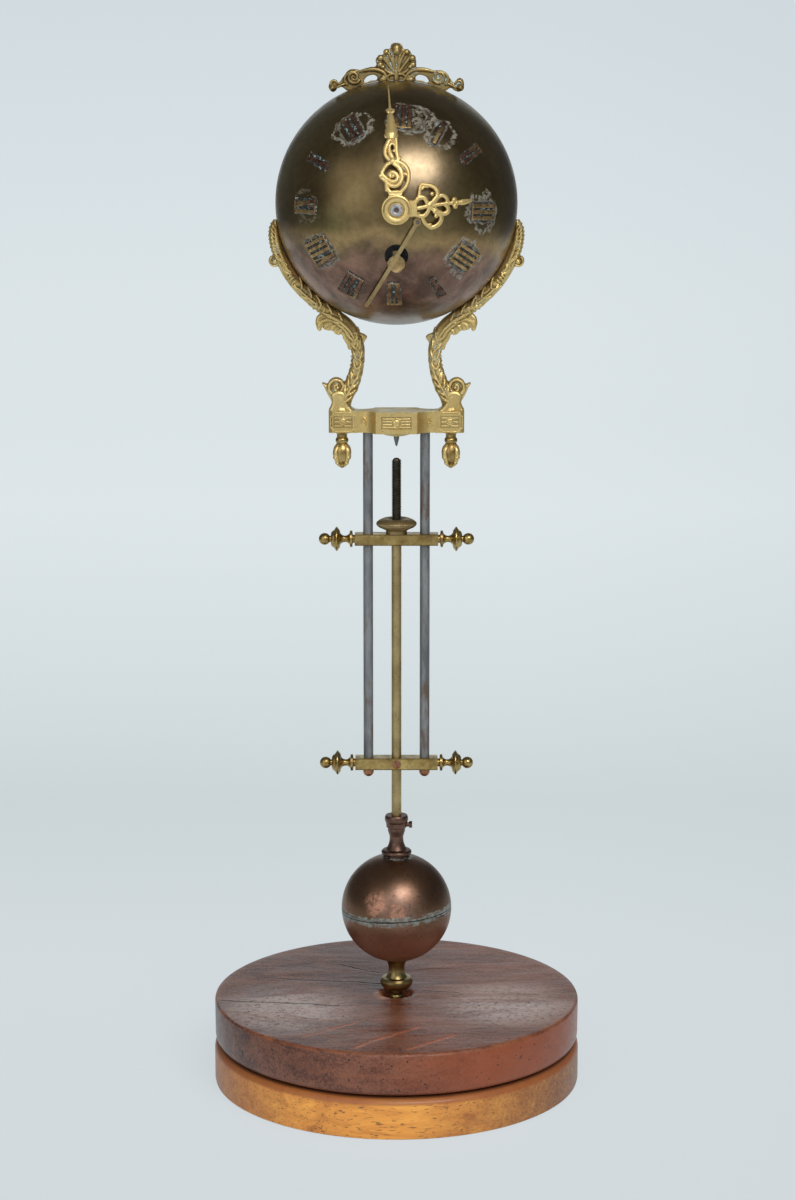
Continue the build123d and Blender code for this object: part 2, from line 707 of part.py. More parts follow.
def crown():
    shape = Pos(0, 0, ball_z) * upright(crown_flat(), crown_depth)
    shape -= Pos(0, 0, ball_z) * Sphere(ball_radius + press_gap)
    return shape - Pos(0, 0, ball_z) * rod(case_screw_radius + press_gap, ball_radius + 4)


# Ball case

def half_space(front):
    """Block that keeps what lies in front of the ball's middle plane, or behind it."""
    size = 4 * ball_radius
    return Pos(0, 0, size / 2 if front else -size / 2) * Box(size, size, size)


def screw_lines():
    """The three screws' lines in the movement's frame, each along +Z of its location."""
    lines = [Rot(-90, 0, 0)]
    for side in (-1, 1):
        lines.append(Rot(0, 0, -side * (90 + arm_screw_angle)) * Rot(-90, 0, 0))
    return lines


def case_shell(front):
    shell = Sphere(ball_radius) - Sphere(shell_inner)
    shell = shell & half_space(front)
    for line in screw_lines():
        shell -= line * rod(case_screw_radius + press_gap, ball_radius + 4)
    if front:
        shell -= rod(pole_hole_radius, 2 * ball_radius)
        shell -= extrude(winding_mouth(), 2 * ball_radius)
        shell -= pointer_turn() * rod(pointer_stud_radius + press_gap, 2 * ball_radius)
    return movement_frame * shell


def case_band():
    """Ring inside the seam that joins the halves and carries the movement."""
    size = 4 * ball_radius
    slab = Pos(0, 0, (band_front - band_back) / 2) * Box(size, size, band_front + band_back)
    band = Sphere(shell_inner - seat_gap) & slab
    band -= Pos(0, 0, -ball_radius) * rod(band_inner, 2 * ball_radius)
    for angle in lug_angles:
        tongue = Circle(lug_radius) + Pos(lug_inset / 2 + 0.6, 0) * Rectangle(lug_inset + 1.2, 2 * lug_radius)
        lug = Pos(lug_ring, 0, band_front - lug_thickness) * extrude(tongue, lug_thickness)
        lug -= Pos(lug_ring, 0, 0) * rod(lug_screw_radius + press_gap, band_front)
        band += Rot(0, 0, angle) * lug
        band -= Rot(0, 0, angle) * Pos(lug_ring, 0, 0) * rod(lug_screw_radius + press_gap, band_front)
    for line in screw_lines():
        band -= line * rod(case_screw_radius + press_gap, ball_radius)
    return movement_frame * band


def winding_mouth():
    """Outline of the winding hole with the notch below it that holds the key scoop."""
    notch = at(scoop_at, 0) * Circle(scoop_radius + press_gap)
    return at(winding_at, 0) * Circle(winding_mouth_radius) + notch


def key_scoop():
    """Dished brass leaf in the hole's lower half that leads the key up to the winding square."""
    half = scoop_length / 2
    bowl = Sphere(scoop_curve) - Sphere(scoop_curve - scoop_thickness)
    bowl &= Pos(0, 0, -scoop_curve) * extrude(Ellipse(scoop_radius, half), scoop_curve)
    lip = Pos(0, -scoop_radius, scoop_rim_h) * Rot(-scoop_tilt, 0, 0)
    leaf = lip * Pos(0, half, sqrt(scoop_curve ** 2 - half ** 2)) * bowl & rod(scoop_radius, ball_radius)
    return movement_frame * at(scoop_at, 0) * leaf & Pos(0, 0, ball_z) * Sphere(ball_radius + 0.1)


# Gears

def gear(teeth, module, thickness, leaf=False, turn=0.0):
    """Clock gear with straight-flanked teeth, a pinion where leaf is true, turned by radians."""
    pitch = teeth * module / 2
    root = pitch - (1.1 if leaf else 1.0) * module
    tip = pitch + (0.4 if leaf else 0.7) * module
    step = 2 * pi / teeth
    root_half = step * (0.15 if leaf else 0.27)
    tip_half = step * (0.12 if leaf else 0.10)
    points = []
    for i in range(teeth):
        middle = turn + i * step
        for radius, angle in ((root, -root_half), (tip, -tip_half), (tip, tip_half), (root, root_half)):
            points.append((radius * cos(middle + angle), radius * sin(middle + angle)))
    return extrude(make_face(Polyline(*points, close=True)), thickness)


def mesh_turn(teeth, here, mate_teeth, mate, mate_turn=0.0):
    """Turn that puts a gear's teeth into the gaps of its mate, both at their places."""
    towards = atan2(mate[1] - here[1], mate[0] - here[0])
    mate_share = (towards + pi - mate_turn) * mate_teeth / (2 * pi)
    return towards - (0.5 - mate_share) * 2 * pi / teeth


def spokes(outer, inner, width, thickness, count=4):
    """Windows between the spokes of a wheel, to be cut away."""
    window = Circle(outer) - Circle(inner)
    for i in range(count):
        window -= Rot(0, 0, i * 360 / count) * Pos(outer / 2, 0) * Rectangle(outer, width)
    return extrude(window, thickness)


def at(place, height):
    return Pos(place[0], place[1], height)


# Movement plates

def back_plate():
    plate = rod(back_plate_radius, plate_thickness)
    pillar_hole = rod(plate_screw_radius + press_gap, plate_thickness)
    for angle in lug_angles:
        plate -= Rot(0, 0, angle) * Pos(lug_ring, 0) * rod(lug_screw_radius + press_gap, plate_thickness)
    for angle in pillar_angles:
        plate -= Rot(0, 0, angle) * Pos(pillar_ring, 0) * pillar_hole
    for place in ((0, 0), winding_at, pallet_at):
        plate -= at(place, 0) * rod(pivot_radius + turning_fit, plate_thickness)
    for place in (third_at, escape_at):
        plate -= at(place, 0) * rod(slim_pivot_radius + turning_fit, plate_thickness)
    return movement_frame * Pos(0, 0, back_plate_h) * plate


def front_plate():
    plate = rod(front_plate_radius, plate_thickness)
    pillar_hole = rod(plate_screw_radius + press_gap, plate_thickness)
    for angle in pillar_angles:
        plate -= Rot(0, 0, angle) * Pos(pillar_ring, 0) * pillar_hole
    plate -= at(pallet_at, 0) * rod(pivot_radius + turning_fit, plate_thickness)
    for place in (third_at, escape_at):
        plate -= at(place, 0) * rod(slim_pivot_radius + turning_fit, plate_thickness)
    plate -= rod(arbor_radius + turning_fit, plate_thickness)
    plate -= at(winding_at, 0) * rod(winding_core_radius + turning_fit, plate_thickness)
    for place in (minute_at, click_at):
        plate -= at(place, 0) * rod(stud_radius + press_gap, plate_thickness)
    return movement_frame * Pos(0, 0, front_plate_h) * plate


def pillar(angle):
    post = rod(pillar_radius, plate_gap)
    for end in (0, plate_gap - 4):
        post -= Pos(0, 0, end) * rod(plate_screw_radius + press_gap, 4)
    return movement_frame * Rot(0, 0, angle) * Pos(pillar_ring, 0, plates_inside) * post


def plate_screw(angle, front):
    """Screw through a plate into a pillar's end."""
    screw = rod(plate_screw_radius, plate_thickness + 3.6)
    screw += Pos(0, 0, -plate_screw_head_height) * rod(plate_screw_head_radius, plate_screw_head_height)
    screw -= Pos(0, 0, -plate_screw_head_height) * Box(0.6, 8, 0.9)
    place = Pos(pillar_ring, 0, back_plate_h)
    if front:
        place = Pos(pillar_ring, 0, plates_outside) * Rot(180, 0, 0)
    return movement_frame * Rot(0, 0, angle) * place * screw


def lug_screw(angle):
    """Screw that holds the back plate on a lug of the band."""
    screw = rod(lug_screw_radius, plate_thickness + lug_thickness + 0.5)
    screw += Pos(0, 0, -plate_screw_head_height) * rod(plate_screw_head_radius, plate_screw_head_height)
    screw -= Pos(0, 0, -plate_screw_head_height) * Box(0.6, 8, 0.9)
    return movement_frame * Rot(0, 0, angle) * Pos(lug_ring, 0, plates_inside) * Rot(180, 0, 0) * screw


# Going train

def pinion_arbor(place, pinion_low, pinion):
    """Slim steel arbor between the plates with its pivots and its pinion."""
    low = plates_inside + end_shake
    shape = at(place, low) * rod(slim_radius, plate_gap - 2 * end_shake)
    shape += at(place, back_plate_h) * rod(slim_pivot_radius, plates_outside - back_plate_h)
    return movement_frame * (shape + at(place, pinion_low) * pinion)


def centre_arbor():
    """Arbor through both plates and the dial that carries the centre pinion and the minute hand."""
    low = plates_inside + end_shake
    shape = Pos(0, 0, back_plate_h) * rod(pivot_radius, low - back_plate_h)
    shape += Pos(0, 0, low) * rod(arbor_radius, cannon_h - low)
    pinion = gear(centre_leaves, drive_module, great_wheel_thickness + 1, leaf=True)
    shape += Pos(0, 0, great_wheel_h - 0.5) * pinion
    shape += Pos(0, 0, cannon_h) * rod(hand_arbor_radius, hub_base - cannon_h + hub_rise)
    return movement_frame * shape


def wheel(teeth, module, bore, turn, arms=4):
    blank = gear(teeth, module, wheel_thickness, turn=turn)
    pitch = teeth * module / 2
    blank -= spokes(pitch - 2.4 * module - 0.6, bore + 2.2, 1.8, wheel_thickness, arms)
    return blank - rod(bore, wheel_thickness)


def centre_wheel():
    turn = mesh_turn(centre_teeth, (0, 0), third_leaves, third_at)
    shape = wheel(centre_teeth, train_module, arbor_radius + press_gap, turn)
    return movement_frame * Pos(0, 0, centre_wheel_h) * shape


def third_arbor():
    pinion_low = centre_wheel_h - 0.3
    pinion = gear(third_leaves, train_module, wheel_thickness + 0.6, leaf=True)
    return pinion_arbor(third_at, pinion_low, pinion)


def third_wheel():
    turn = mesh_turn(third_teeth, third_at, escape_leaves, escape_at)
    shape = wheel(third_teeth, fast_module, slim_radius + press_gap, turn)
    return movement_frame * at(third_at, third_wheel_h) * shape


def escape_arbor():
    pinion = gear(escape_leaves, fast_module, wheel_thickness + 0.6, leaf=True)
    return pinion_arbor(escape_at, third_wheel_h - 0.3, pinion)


def escape_wheel():
    """Thirty pointed teeth, raked for a recoil anchor."""
    step = 2 * pi / escape_teeth
    root = escape_radius - 1.5
    points = []
    for i in range(escape_teeth):
        middle = (i + 0.25) * step + pi / 2
        for radius, angle in ((root, -0.42 * step), (escape_radius, -0.04 * step), (escape_radius, 0.04 * step),
                              (root, 0.12 * step)):
            points.append((radius * cos(middle + angle), radius * sin(middle + angle)))
    blank = extrude(make_face(Polyline(*points, close=True)), wheel_thickness)
    blank -= spokes(root - 1.2, 2.4, 1.6, wheel_thickness)
    blank -= rod(slim_radius + press_gap, wheel_thickness)
    return movement_frame * at(escape_at, escape_wheel_h) * blank


# Barrel, mainspring and winding work

def barrel():
    """Great wheel and drum in one, turned about the winding arbor."""
    turn = mesh_turn(great_teeth, winding_at, centre_leaves, (0, 0))
    shape = gear(great_teeth, drive_module, great_wheel_thickness, turn=turn)
    shape += Pos(0, 0, great_wheel_thickness) * tube(barrel_radius, barrel_radius - barrel_wall, barrel_height)
    shape -= rod(winding_core_radius + turning_fit, great_wheel_thickness)
    return movement_frame * at(winding_at, great_wheel_h) * shape


def barrel_cover():
    cover = tube(barrel_radius, winding_core_radius + turning_fit, 1.0)
    return movement_frame * at(winding_at, barrel_h + barrel_height) * cover


def mainspring():
    """Coiled strip in the drum, in half turns of steadily growing radius."""
    start = winding_core_radius + 1.2
    grow = (barrel_radius - barrel_wall - spring_thickness - start) / (2 * spring_turns)
    strip = Sketch()
    for i in range(2 * spring_turns):
        radius = start + i * grow
        half = ring(0, 0, radius + spring_thickness / 2, radius - spring_thickness / 2)
        side = 1 if i % 2 == 0 else -1
        half = half & Pos(0, side * barrel_radius / 2) * Rectangle(4 * barrel_radius, barrel_radius)
        strip += Pos(0 if i % 2 == 0 else grow, 0) * half
    coil = extrude(strip, barrel_height - 2 * safe_gap)
    return movement_frame * at(winding_at, barrel_h + safe_gap) * coil


def winding_arbor():
    """Barrel arbor: pivots in the plates, squared in front for the key."""
    core_low = plates_inside + end_shake
    shape = at(winding_at, core_low) * rod(winding_core_radius, ratchet_h - core_low)
    shape += at(winding_at, back_plate_h) * rod(pivot_radius, plate_thickness + end_shake)
    square = extrude(Rectangle(winding_square, winding_square), winding_front - ratchet_h)
    return movement_frame * (shape + at(winding_at, ratchet_h) * square)


def ratchet_wheel():
    step = 2 * pi / ratchet_teeth
    root = ratchet_radius - ratchet_tooth
    points = []
    for i in range(ratchet_teeth):
        points.append((ratchet_radius * cos(i * step), ratchet_radius * sin(i * step)))
        points.append((root * cos((i + 0.2) * step), root * sin((i + 0.2) * step)))
    wheel_blank = extrude(make_face(Polyline(*points, close=True)), wheel_thickness)
    side = winding_square + 2 * press_gap
    hole = extrude(Rectangle(side, side), wheel_thickness)
    return movement_frame * at(winding_at, ratchet_h) * (wheel_blank - hole)


def click():
    """Pawl whose nose sits in a gap of the ratchet wheel."""
    nose_angle = 2 * pi / ratchet_teeth * (click_gap + 0.32)
    nose_reach = ratchet_radius - ratchet_tooth + safe_gap + 0.3
    nose = (winding_at[0] + nose_reach * cos(nose_angle), winding_at[1] + nose_reach * sin(nose_angle))
    middle = ((nose[0] + click_at[0]) / 2 + 1.3, (nose[1] + click_at[1]) / 2 + 0.9)
    body = ribbon([click_at, middle, nose], [3.4, 2.2, 0.3])
    bore = at(click_at, 0) * rod(stud_radius + turning_fit, wheel_thickness)
    shape = extrude(body, wheel_thickness) - bore
    return movement_frame * Pos(0, 0, ratchet_h) * shape


# Motion work behind the dial

def cannon_pinion():
    shape = gear(cannon_leaves, motion_module, wheel_thickness + 0.4, leaf=True)
    shape += rod(cannon_pipe_radius, hub_base - cannon_h)
    shape -= rod(hand_arbor_radius + press_gap, hub_base)
    return movement_frame * Pos(0, 0, cannon_h) * shape


def minute_wheel():
    turn = mesh_turn(minute_teeth, minute_at, cannon_leaves, (0, 0))
    shape = gear(minute_teeth, motion_module, wheel_thickness, turn=turn)
    shape += Pos(0, 0, wheel_thickness) * gear(minute_leaves, hour_module, 2.6, leaf=True)
    shape -= rod(stud_radius + turning_fit, 10)
    return movement_frame * at(minute_at, cannon_h) * shape


def front_stud(place, top):
    """Stud riveted in the front plate, with a shoulder under what turns on it."""
    return movement_frame * at(place, front_plate_h) * rod(stud_radius, top - front_plate_h)


def hour_wheel():
    turn = mesh_turn(hour_teeth, (0, 0), minute_leaves, minute_at)
    shape = gear(hour_teeth, hour_module, wheel_thickness, turn=turn)
    shape += rod(hour_pipe_radius, ball_radius + hour_clearance - hour_wheel_h)
    shape -= rod(cannon_pipe_radius + turning_fit, ball_radius)
    return movement_frame * Pos(0, 0, hour_wheel_h) * shape


# Escapement and inner pendulum

def pallet_arbor():
    shape = at(pallet_at, pendulum_height - 1) * rod(pivot_radius, plates_outside - pendulum_height + 1)
    shape += at(pallet_at, plates_inside + end_shake) * rod(1.1, plate_gap - 2 * end_shake)
    return movement_frame * shape


def anchor():
    """Recoil anchor over the escape wheel."""
    reach = escape_radius
    arms = ribbon([(-reach * 0.72, -reach * 0.57), (-reach * 0.46, -1.2), (0, 1.2), (reach * 0.46, -1.2),
                   (reach * 0.72, -reach * 0.57)], [0.7, 1.6, 3.2, 1.6, 0.7])
    shape = extrude(arms, wheel_thickness) - rod(1.1 + press_gap, wheel_thickness)
    return movement_frame * at(pallet_at, escape_wheel_h) * shape


def inner_pendulum():
    """Short pendulum behind the back plate that the escapement drives."""
    eye = tube(2.6, pivot_radius + press_gap, 1.6)
    stem = Pos(0, -pendulum_rod_length / 2 - 1.2, 0.8) * Box(1.4, pendulum_rod_length - 2.0, 1.0)
    edge = pendulum_bob_radius - 1.5
    lens = turned(Line(p(0, -2.2), p(edge, -1.6)),
                  ThreePointArc(p(edge, -1.6), p(pendulum_bob_radius, 0.8), p(edge, 3.2)),
                  Line(p(edge, 3.2), p(0, 3.8)), Line(p(0, 3.8), p(0, -2.2)))
    shape = eye + stem + Pos(0, -pendulum_rod_length, 0) * lens
    return movement_frame * at(pallet_at, pendulum_height - 0.8) * shape


# Hands

def on_ball(flat, clearance, thickness):
    """Curve a flat outline to the ball: keep what lies in a thin shell over it."""
    low = ball_radius + clearance
    sheet = Sphere(low + thickness) - Sphere(low)
    return extrude(flat, 2 * ball_radius, dir=(0, 0, 1)) & sheet


def minute_hand_flat():
    """Openwork outline drawn pointing up: neck, scrolled lozenge, waist, small loop and leafy blade."""
    share = minute_hand_length / 55.2
    flat = ribbon([(0, 0), (0, 9.4)], [6.8, 6.2], share)
    flat += both_sides(ribbon([(1.6, 8.6), (5.4, 11.4), (5.2, 15.6), (2.4, 19.4), (0.8, 22.4)],
                              [2.0, 1.7, 1.6, 1.7, 1.8], share))
    flat += both_sides(ribbon([(0.9, 9.6), (2.6, 13.0), (0.6, 16.6)], [1.6, 1.2, 1.3], share))
    flat += both_sides(ribbon([(0.7, 22.0), (3.1, 24.8), (2.3, 28.4), (0.8, 31.2)], [1.8, 1.5, 1.5, 1.8], share))
    flat += ribbon([(0, 21.0), (0, 25.6)], [1.6, 1.0], share)
    flat += ring(0, 29.6 * share, 1.9 * share, 0.75 * share)
    flat += ribbon([(0, 31.0), (0, 36.0), (0, 42.4)], [4.2, 5.0, 2.2], share)
    flat += both_sides(Pos(1.5 * share, 43.4 * share) * Circle(1.25 * share))
    return flat + ribbon([(0, 43.0), (0, 54.7)], [1.6, 0.9], share)


def hour_hand_flat():
    """Shorter openwork outline drawn pointing up: four loops, a knot and a leaf point."""
    share = hour_hand_length / 34.4
    flat = ribbon([(0, 0), (0, 8.4)], [6.4, 5.0], share)
    flat += both_sides(ring(2.6 * share, 11.6 * share, 3.0 * share, 1.7 * share))
    flat += both_sides(ribbon([(1.2, 13.4), (6.2, 12.6), (9.4, 16.4), (7.4, 20.6), (4.0, 18.6)],
                              [1.6, 1.6, 1.6, 1.6, 1.5], share))
    flat += both_sides(ribbon([(0.6, 18.0), (3.8, 20.4), (3.4, 24.2), (0.8, 25.2)], [1.5, 1.5, 1.5, 1.6], share))
    flat += ribbon([(0, 8.0), (0, 17.0), (0, 25.6)], [1.8, 2.8, 2.0], share)
    flat += both_sides(Pos(1.9 * share, 27.2 * share) * Circle(1.35 * share))
    return flat + ribbon([(0, 25.4), (0, 30.0), (0, 34.0)], [2.6, 2.6, 1.0], share)


def hand_hub(clearance, radius, bore):
    low = ball_radius + clearance
    disc = Pos(0, 0, low - 0.55) * rod(radius, hand_thickness + 0.55)
    return disc, Pos(0, 0, low - 3) * rod(bore, 8)


def minute_hand():
    disc, bore = hand_hub(minute_clearance, hub_radius - 0.7, hand_arbor_radius + press_gap)
    shape = on_ball(minute_hand_flat(), minute_clearance, hand_thickness) + disc
    raised = tube(hub_radius - 1.0, hand_screw_radius + 0.5, hub_rise)
    raised = Pos(0, 0, hub_base + hand_thickness) * raised
    shape = shape + raised - bore - Pos(0, 0, hub_base - 1) * rod(cannon_pipe_radius + press_gap, 1)
    return movement_frame * Rot(0, 0, minute_hand_angle) * shape


def hour_hand():
    disc, bore = hand_hub(hour_clearance, hub_radius - 1.2, cannon_pipe_radius + turning_fit)
    shape = on_ball(hour_hand_flat(), hour_clearance, hand_thickness) + disc - bore
    shape -= Pos(0, 0, ball_radius - 1) * rod(hour_pipe_radius + press_gap, hour_clearance + 1)
    return movement_frame * Rot(0, 0, -hour_hand_angle) * shape


def hand_screw():
    """Centre screw that holds the minute hand on its arbor."""
    base = hub_base + hand_thickness
    head = rod(hand_screw_radius, hub_rise + 0.6) - rod(hand_arbor_radius + press_gap, 0.4)
    head = chamfer(head.edges().sort_by(Axis.Z)[-1], 0.3)
    return movement_frame * Pos(0, 0, base) * head


def pointer_turn():
    """Carry +Z from the ball's front pole to the slim pointer's stud."""
    tilt = degrees(asin(pointer_stud_drop / ball_radius))
    swing = degrees(asin(pointer_stud_x / ball_radius))
    return Rot(0, swing, 0) * Rot(tilt, 0, 0)


def pointer():
    """Slim pointer that looks straight from the front and follows the ball."""
    x, y = pointer_stud_x, -pointer_stud_drop
    aim = radians(pointer_angle)
    end = (x + pointer_length * sin(aim), y + pointer_length * cos(aim))
    flat = ribbon([(x, y), end], [pointer_width, pointer_width]) + Pos(x, y) * Circle(pointer_width)
    bore = pointer_turn() * rod(pointer_stud_radius + turning_fit, 2 * ball_radius)
    return movement_frame * (on_ball(flat, pointer_clearance, pointer_thickness) - bore)


def pointer_stud():
    low = shell_inner - 1.5
    shape = Pos(0, 0, low) * rod(pointer_stud_radius, ball_radius + hour_clearance - safe_gap - low)
    shape += Pos(0, 0, low) * rod(2.0, shell_inner - low - seat_gap)
    return movement_frame * pointer_turn() * shape


def main():
    os.makedirs("parts", exist_ok=True)
    save("base_lower_disc", lower_disc())
    save("base_upper_disc", upper_disc())
    save("bob_foot", bob_foot())
    save("bob_lower_shell", bob_shell(-1))
    save("bob_upper_shell", bob_shell(1))
    save("bob_weight", bob_weight())
    save("bob_neck", bob_neck())
    save("bob_neck_screw", bob_neck_screw())
    save("centre_rod", centre_rod())
    save("lower_crossbar", lower_crossbar())
    save("upper_crossbar", crossbar(upper_bar_z, upper_bar_height))
    save("clamp_screw", clamp_screw())
    save("left_rod", steel_rod(-1))
    save("right_rod", steel_rod(1))
    save("rod_rivets", rod_rivet(-1), rod_rivet(1))
    upper_finial_z = upper_bar_z + upper_bar_height / 2
    lower_finial_z = lower_bar_z + lower_bar_height / 2
    save("upper_finials", bar_finial(-1, upper_finial_z), bar_finial(1, upper_finial_z))
    save("lower_finials", bar_finial(-1, lower_finial_z), bar_finial(1, lower_finial_z))
    save("regulating_nut", regulating_nut())
    save("bracket", bracket())
    save("pivot_spike", pivot_spike())
    save("drop_finials", drop_finial(-1), drop_finial(1))
    save("left_arm", arm(-1))
    save("right_arm", arm(1))
    save("crown", crown())
    save("front_shell", case_shell(True))
    save("rear_shell", case_shell(False))
    save("case_band", case_band())
    save("case_screws", *[movement_frame * line * case_screw() for line in screw_lines()])
    save("key_scoop", key_scoop())
    save("back_plate", back_plate())
    save("front_plate", front_plate())
    save("pillars", *[pillar(a) for a in pillar_angles])
    save("plate_screws", *[plate_screw(a, front) for a in pillar_angles for front in (False, True)])
    save("lug_screws", *[lug_screw(a) for a in lug_angles])
    save("centre_arbor", centre_arbor())
    save("centre_wheel", centre_wheel())
    save("third_arbor", third_arbor())
    save("third_wheel", third_wheel())
    save("escape_arbor", escape_arbor())
    save("escape_wheel", escape_wheel())
    save("barrel", barrel())
    save("barrel_cover", barrel_cover())
    save("mainspring", mainspring())
    save("winding_arbor", winding_arbor())
    save("ratchet_wheel", ratchet_wheel())
    save("click", click())
    save("cannon_pinion", cannon_pinion())
    save("minute_wheel", minute_wheel())
    save("minute_stud", front_stud(minute_at, minute_pinion_h + 2.4))
    save("click_stud", front_stud(click_at, ratchet_h + wheel_thickness + 0.3))
    save("hour_wheel", hour_wheel())
    save("pallet_arbor", pallet_arbor())
    save("anchor", anchor())
    save("inner_pendulum", inner_pendulum())
    save("minute_hand", minute_hand())
    save("hour_hand", hour_hand())
    save("hand_screw", hand_screw())
    save("pointer", pointer())
    save("pointer_stud", pointer_stud())


main()
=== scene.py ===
import json
import math
import random

import bpy
from mathutils import Matrix, Vector


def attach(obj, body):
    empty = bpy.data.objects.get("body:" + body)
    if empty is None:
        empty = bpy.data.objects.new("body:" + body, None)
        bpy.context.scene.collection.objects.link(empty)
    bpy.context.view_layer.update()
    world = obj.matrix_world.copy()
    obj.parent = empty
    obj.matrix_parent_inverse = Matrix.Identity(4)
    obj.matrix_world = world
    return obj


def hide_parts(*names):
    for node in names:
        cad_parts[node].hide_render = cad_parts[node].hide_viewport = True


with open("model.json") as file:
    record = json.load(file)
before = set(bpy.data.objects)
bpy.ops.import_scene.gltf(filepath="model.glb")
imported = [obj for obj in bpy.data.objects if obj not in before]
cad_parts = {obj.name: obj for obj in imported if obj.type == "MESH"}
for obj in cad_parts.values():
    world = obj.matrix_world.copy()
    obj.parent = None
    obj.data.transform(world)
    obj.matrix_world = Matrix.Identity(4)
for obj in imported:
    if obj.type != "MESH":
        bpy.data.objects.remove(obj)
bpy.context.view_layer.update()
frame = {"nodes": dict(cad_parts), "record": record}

MM = 0.001
nodes = frame["nodes"]

# Sizes repeated from the part, in millimetres
BALL_Z = 431.65
BALL_R = 57.15
BRACKET_Z = 323.2
BRACKET_TOP = 333.6
STAND_TOP = 42.1
BOB_Z = 86.5
BOB_R = 27.1
UPPER_BAR_TOP = 273.8
ROD_TOP = 310.6
DROP_X = 26.1


# Working by hand: selecting, applying and joining

def deselect():
    if bpy.context.mode != "OBJECT":
        bpy.ops.object.mode_set(mode="OBJECT")
    bpy.ops.object.select_all(action="DESELECT")


def take(*objects):
    """Select these objects only, the last one active."""
    deselect()
    for obj in objects:
        obj.select_set(True)
    bpy.context.view_layer.objects.active = objects[-1]
    return objects[-1]


def modify(obj, kind, **settings):
    """Add a modifier with these settings and apply it."""
    take(obj)
    modifier = obj.modifiers.new(kind.lower(), kind)
    for key, value in settings.items():
        setattr(modifier, key, value)
    bpy.ops.object.modifier_apply(modifier=modifier.name)
    return obj


def join(name, parts):
    take(*parts)
    if len(parts) > 1:
        bpy.ops.object.join()
    obj = bpy.context.active_object
    obj.name = obj.data.name = name
    return obj


def outward(obj):
    """Make a closed mesh's faces point outwards."""
    take(obj)
    bpy.ops.object.mode_set(mode="EDIT")
    bpy.ops.mesh.select_all(action="SELECT")
    bpy.ops.mesh.remove_doubles(threshold=0.000002)
    bpy.ops.mesh.normals_make_consistent(inside=False)
    bpy.ops.object.mode_set(mode="OBJECT")
    return obj


def smooth(obj, angle=40):
    take(obj)
    bpy.ops.object.shade_smooth_by_angle(angle=math.radians(angle))
    return obj


def shade_smooth(obj):
    take(obj)
    bpy.ops.object.shade_smooth()
    return obj


def duplicate(obj):
    take(obj)
    bpy.ops.object.duplicate()
    return bpy.context.active_object


def mirrored(obj, name, axis=(1, 0, 0)):
    """A copy on the other side of the middle plane across an axis, with its own mesh."""
    copy = duplicate(obj)
    copy.name = copy.data.name = name
    copy.data.transform(Matrix.Scale(-1, 4, axis))
    copy.data.flip_normals()
    return copy


def cast(name, parts, voxel, soften=2):
    """Fuse overlapping parts into one casting with softened joins."""
    obj = join(name, parts)
    modify(obj, "REMESH", mode="VOXEL", voxel_size=voxel * MM, adaptivity=0.0)
    if soften:
        modify(obj, "SMOOTH", factor=0.5, iterations=soften)
    return shade_smooth(obj)


def mark_relief(obj, spread=24, depth=0.11):
    """Note on each point how far it lies in a hollow or on a crest, for the paint to use."""
    softened = modify(duplicate(obj), "SMOOTH", factor=0.5, iterations=spread)
    hollow = obj.data.attributes.new("hollow", "FLOAT", "POINT")
    crest = obj.data.attributes.new("crest", "FLOAT", "POINT")
    for vertex, soft, low, high in zip(obj.data.vertices, softened.data.vertices, hollow.data, crest.data):
        rise = (vertex.co - soft.co).dot(vertex.normal) / (depth * MM)
        low.value = min(1.0, max(0.0, -rise))
        high.value = min(1.0, max(0.0, rise))
    bpy.data.objects.remove(softened)
    return obj


# Drawing in the XZ plane, front view, in millimetres

def new_curve():
    deselect()
    bpy.ops.curve.primitive_bezier_curve_add()
    obj = bpy.context.active_object
    obj.data.splines.clear()
    return obj


def fill_spline(curve, points, closed, handles="AUTO"):
    spline = curve.splines.new("BEZIER")
    spline.bezier_points.add(len(points) - 1)
    for knot, (x, z) in zip(spline.bezier_points, points):
        knot.co = (x * MM, z * MM, 0)
        knot.handle_left_type = handles
        knot.handle_right_type = handles
    spline.use_cyclic_u = closed
    return spline


def stand_up(obj, y=0.0):
    """Turn a drawing in the XY plane up to face the front, and move it to y."""
    take(obj)
    bpy.ops.object.convert(target="MESH")
    obj.data.transform(Matrix.Translation((0, y * MM, 0)) @ Matrix.Rotation(math.radians(90), 4, "X"))
    return obj


def sweep(points, widths, y=0.0, deep=1.0, closed=False, sides=3, steps=8):
    """Round bar of changing width along (x, z) points, deepened front to back by a factor."""
    obj = new_curve()
    curve = obj.data
    spline = fill_spline(curve, points, closed)
    if not isinstance(widths, (list, tuple)):
        widths = [widths] * len(points)
    if len(widths) != len(points):
        widths = [shape_at(widths, i / (len(points) - 1)) for i in range(len(points))]
    for knot, width in zip(spline.bezier_points, widths):
        knot.radius = width
    curve.resolution_u = steps
    curve.bevel_depth = MM / 2
    curve.bevel_resolution = sides
    curve.use_fill_caps = True
    obj = stand_up(obj)
    obj.data.transform(Matrix.Translation((0, y * MM, 0)) @ Matrix.Scale(deep, 4, (0, 1, 0)))
    return obj


def shape_at(values, share):
    """Value between the listed ones at a share of the way along."""
    place = share * (len(values) - 1)
    low = min(int(place), len(values) - 2)
    return values[low] + (values[low + 1] - values[low]) * (place - low)


def plate(loops, depth, y=0.0, edge=0.2, handles="AUTO", steps=6):
    """Flat plate with holes from closed outlines, its edges rounded, its middle at y."""
    obj = new_curve()
    curve = obj.data
    curve.dimensions = "2D"
    curve.fill_mode = "BOTH"
    curve.resolution_u = steps
    for loop in loops:
        fill_spline(curve, loop, True, handles)
    curve.extrude = (depth / 2 - edge) * MM
    curve.bevel_depth = edge * MM
    curve.bevel_resolution = 1
    curve.offset = -edge * MM
    return outward(stand_up(obj, y))


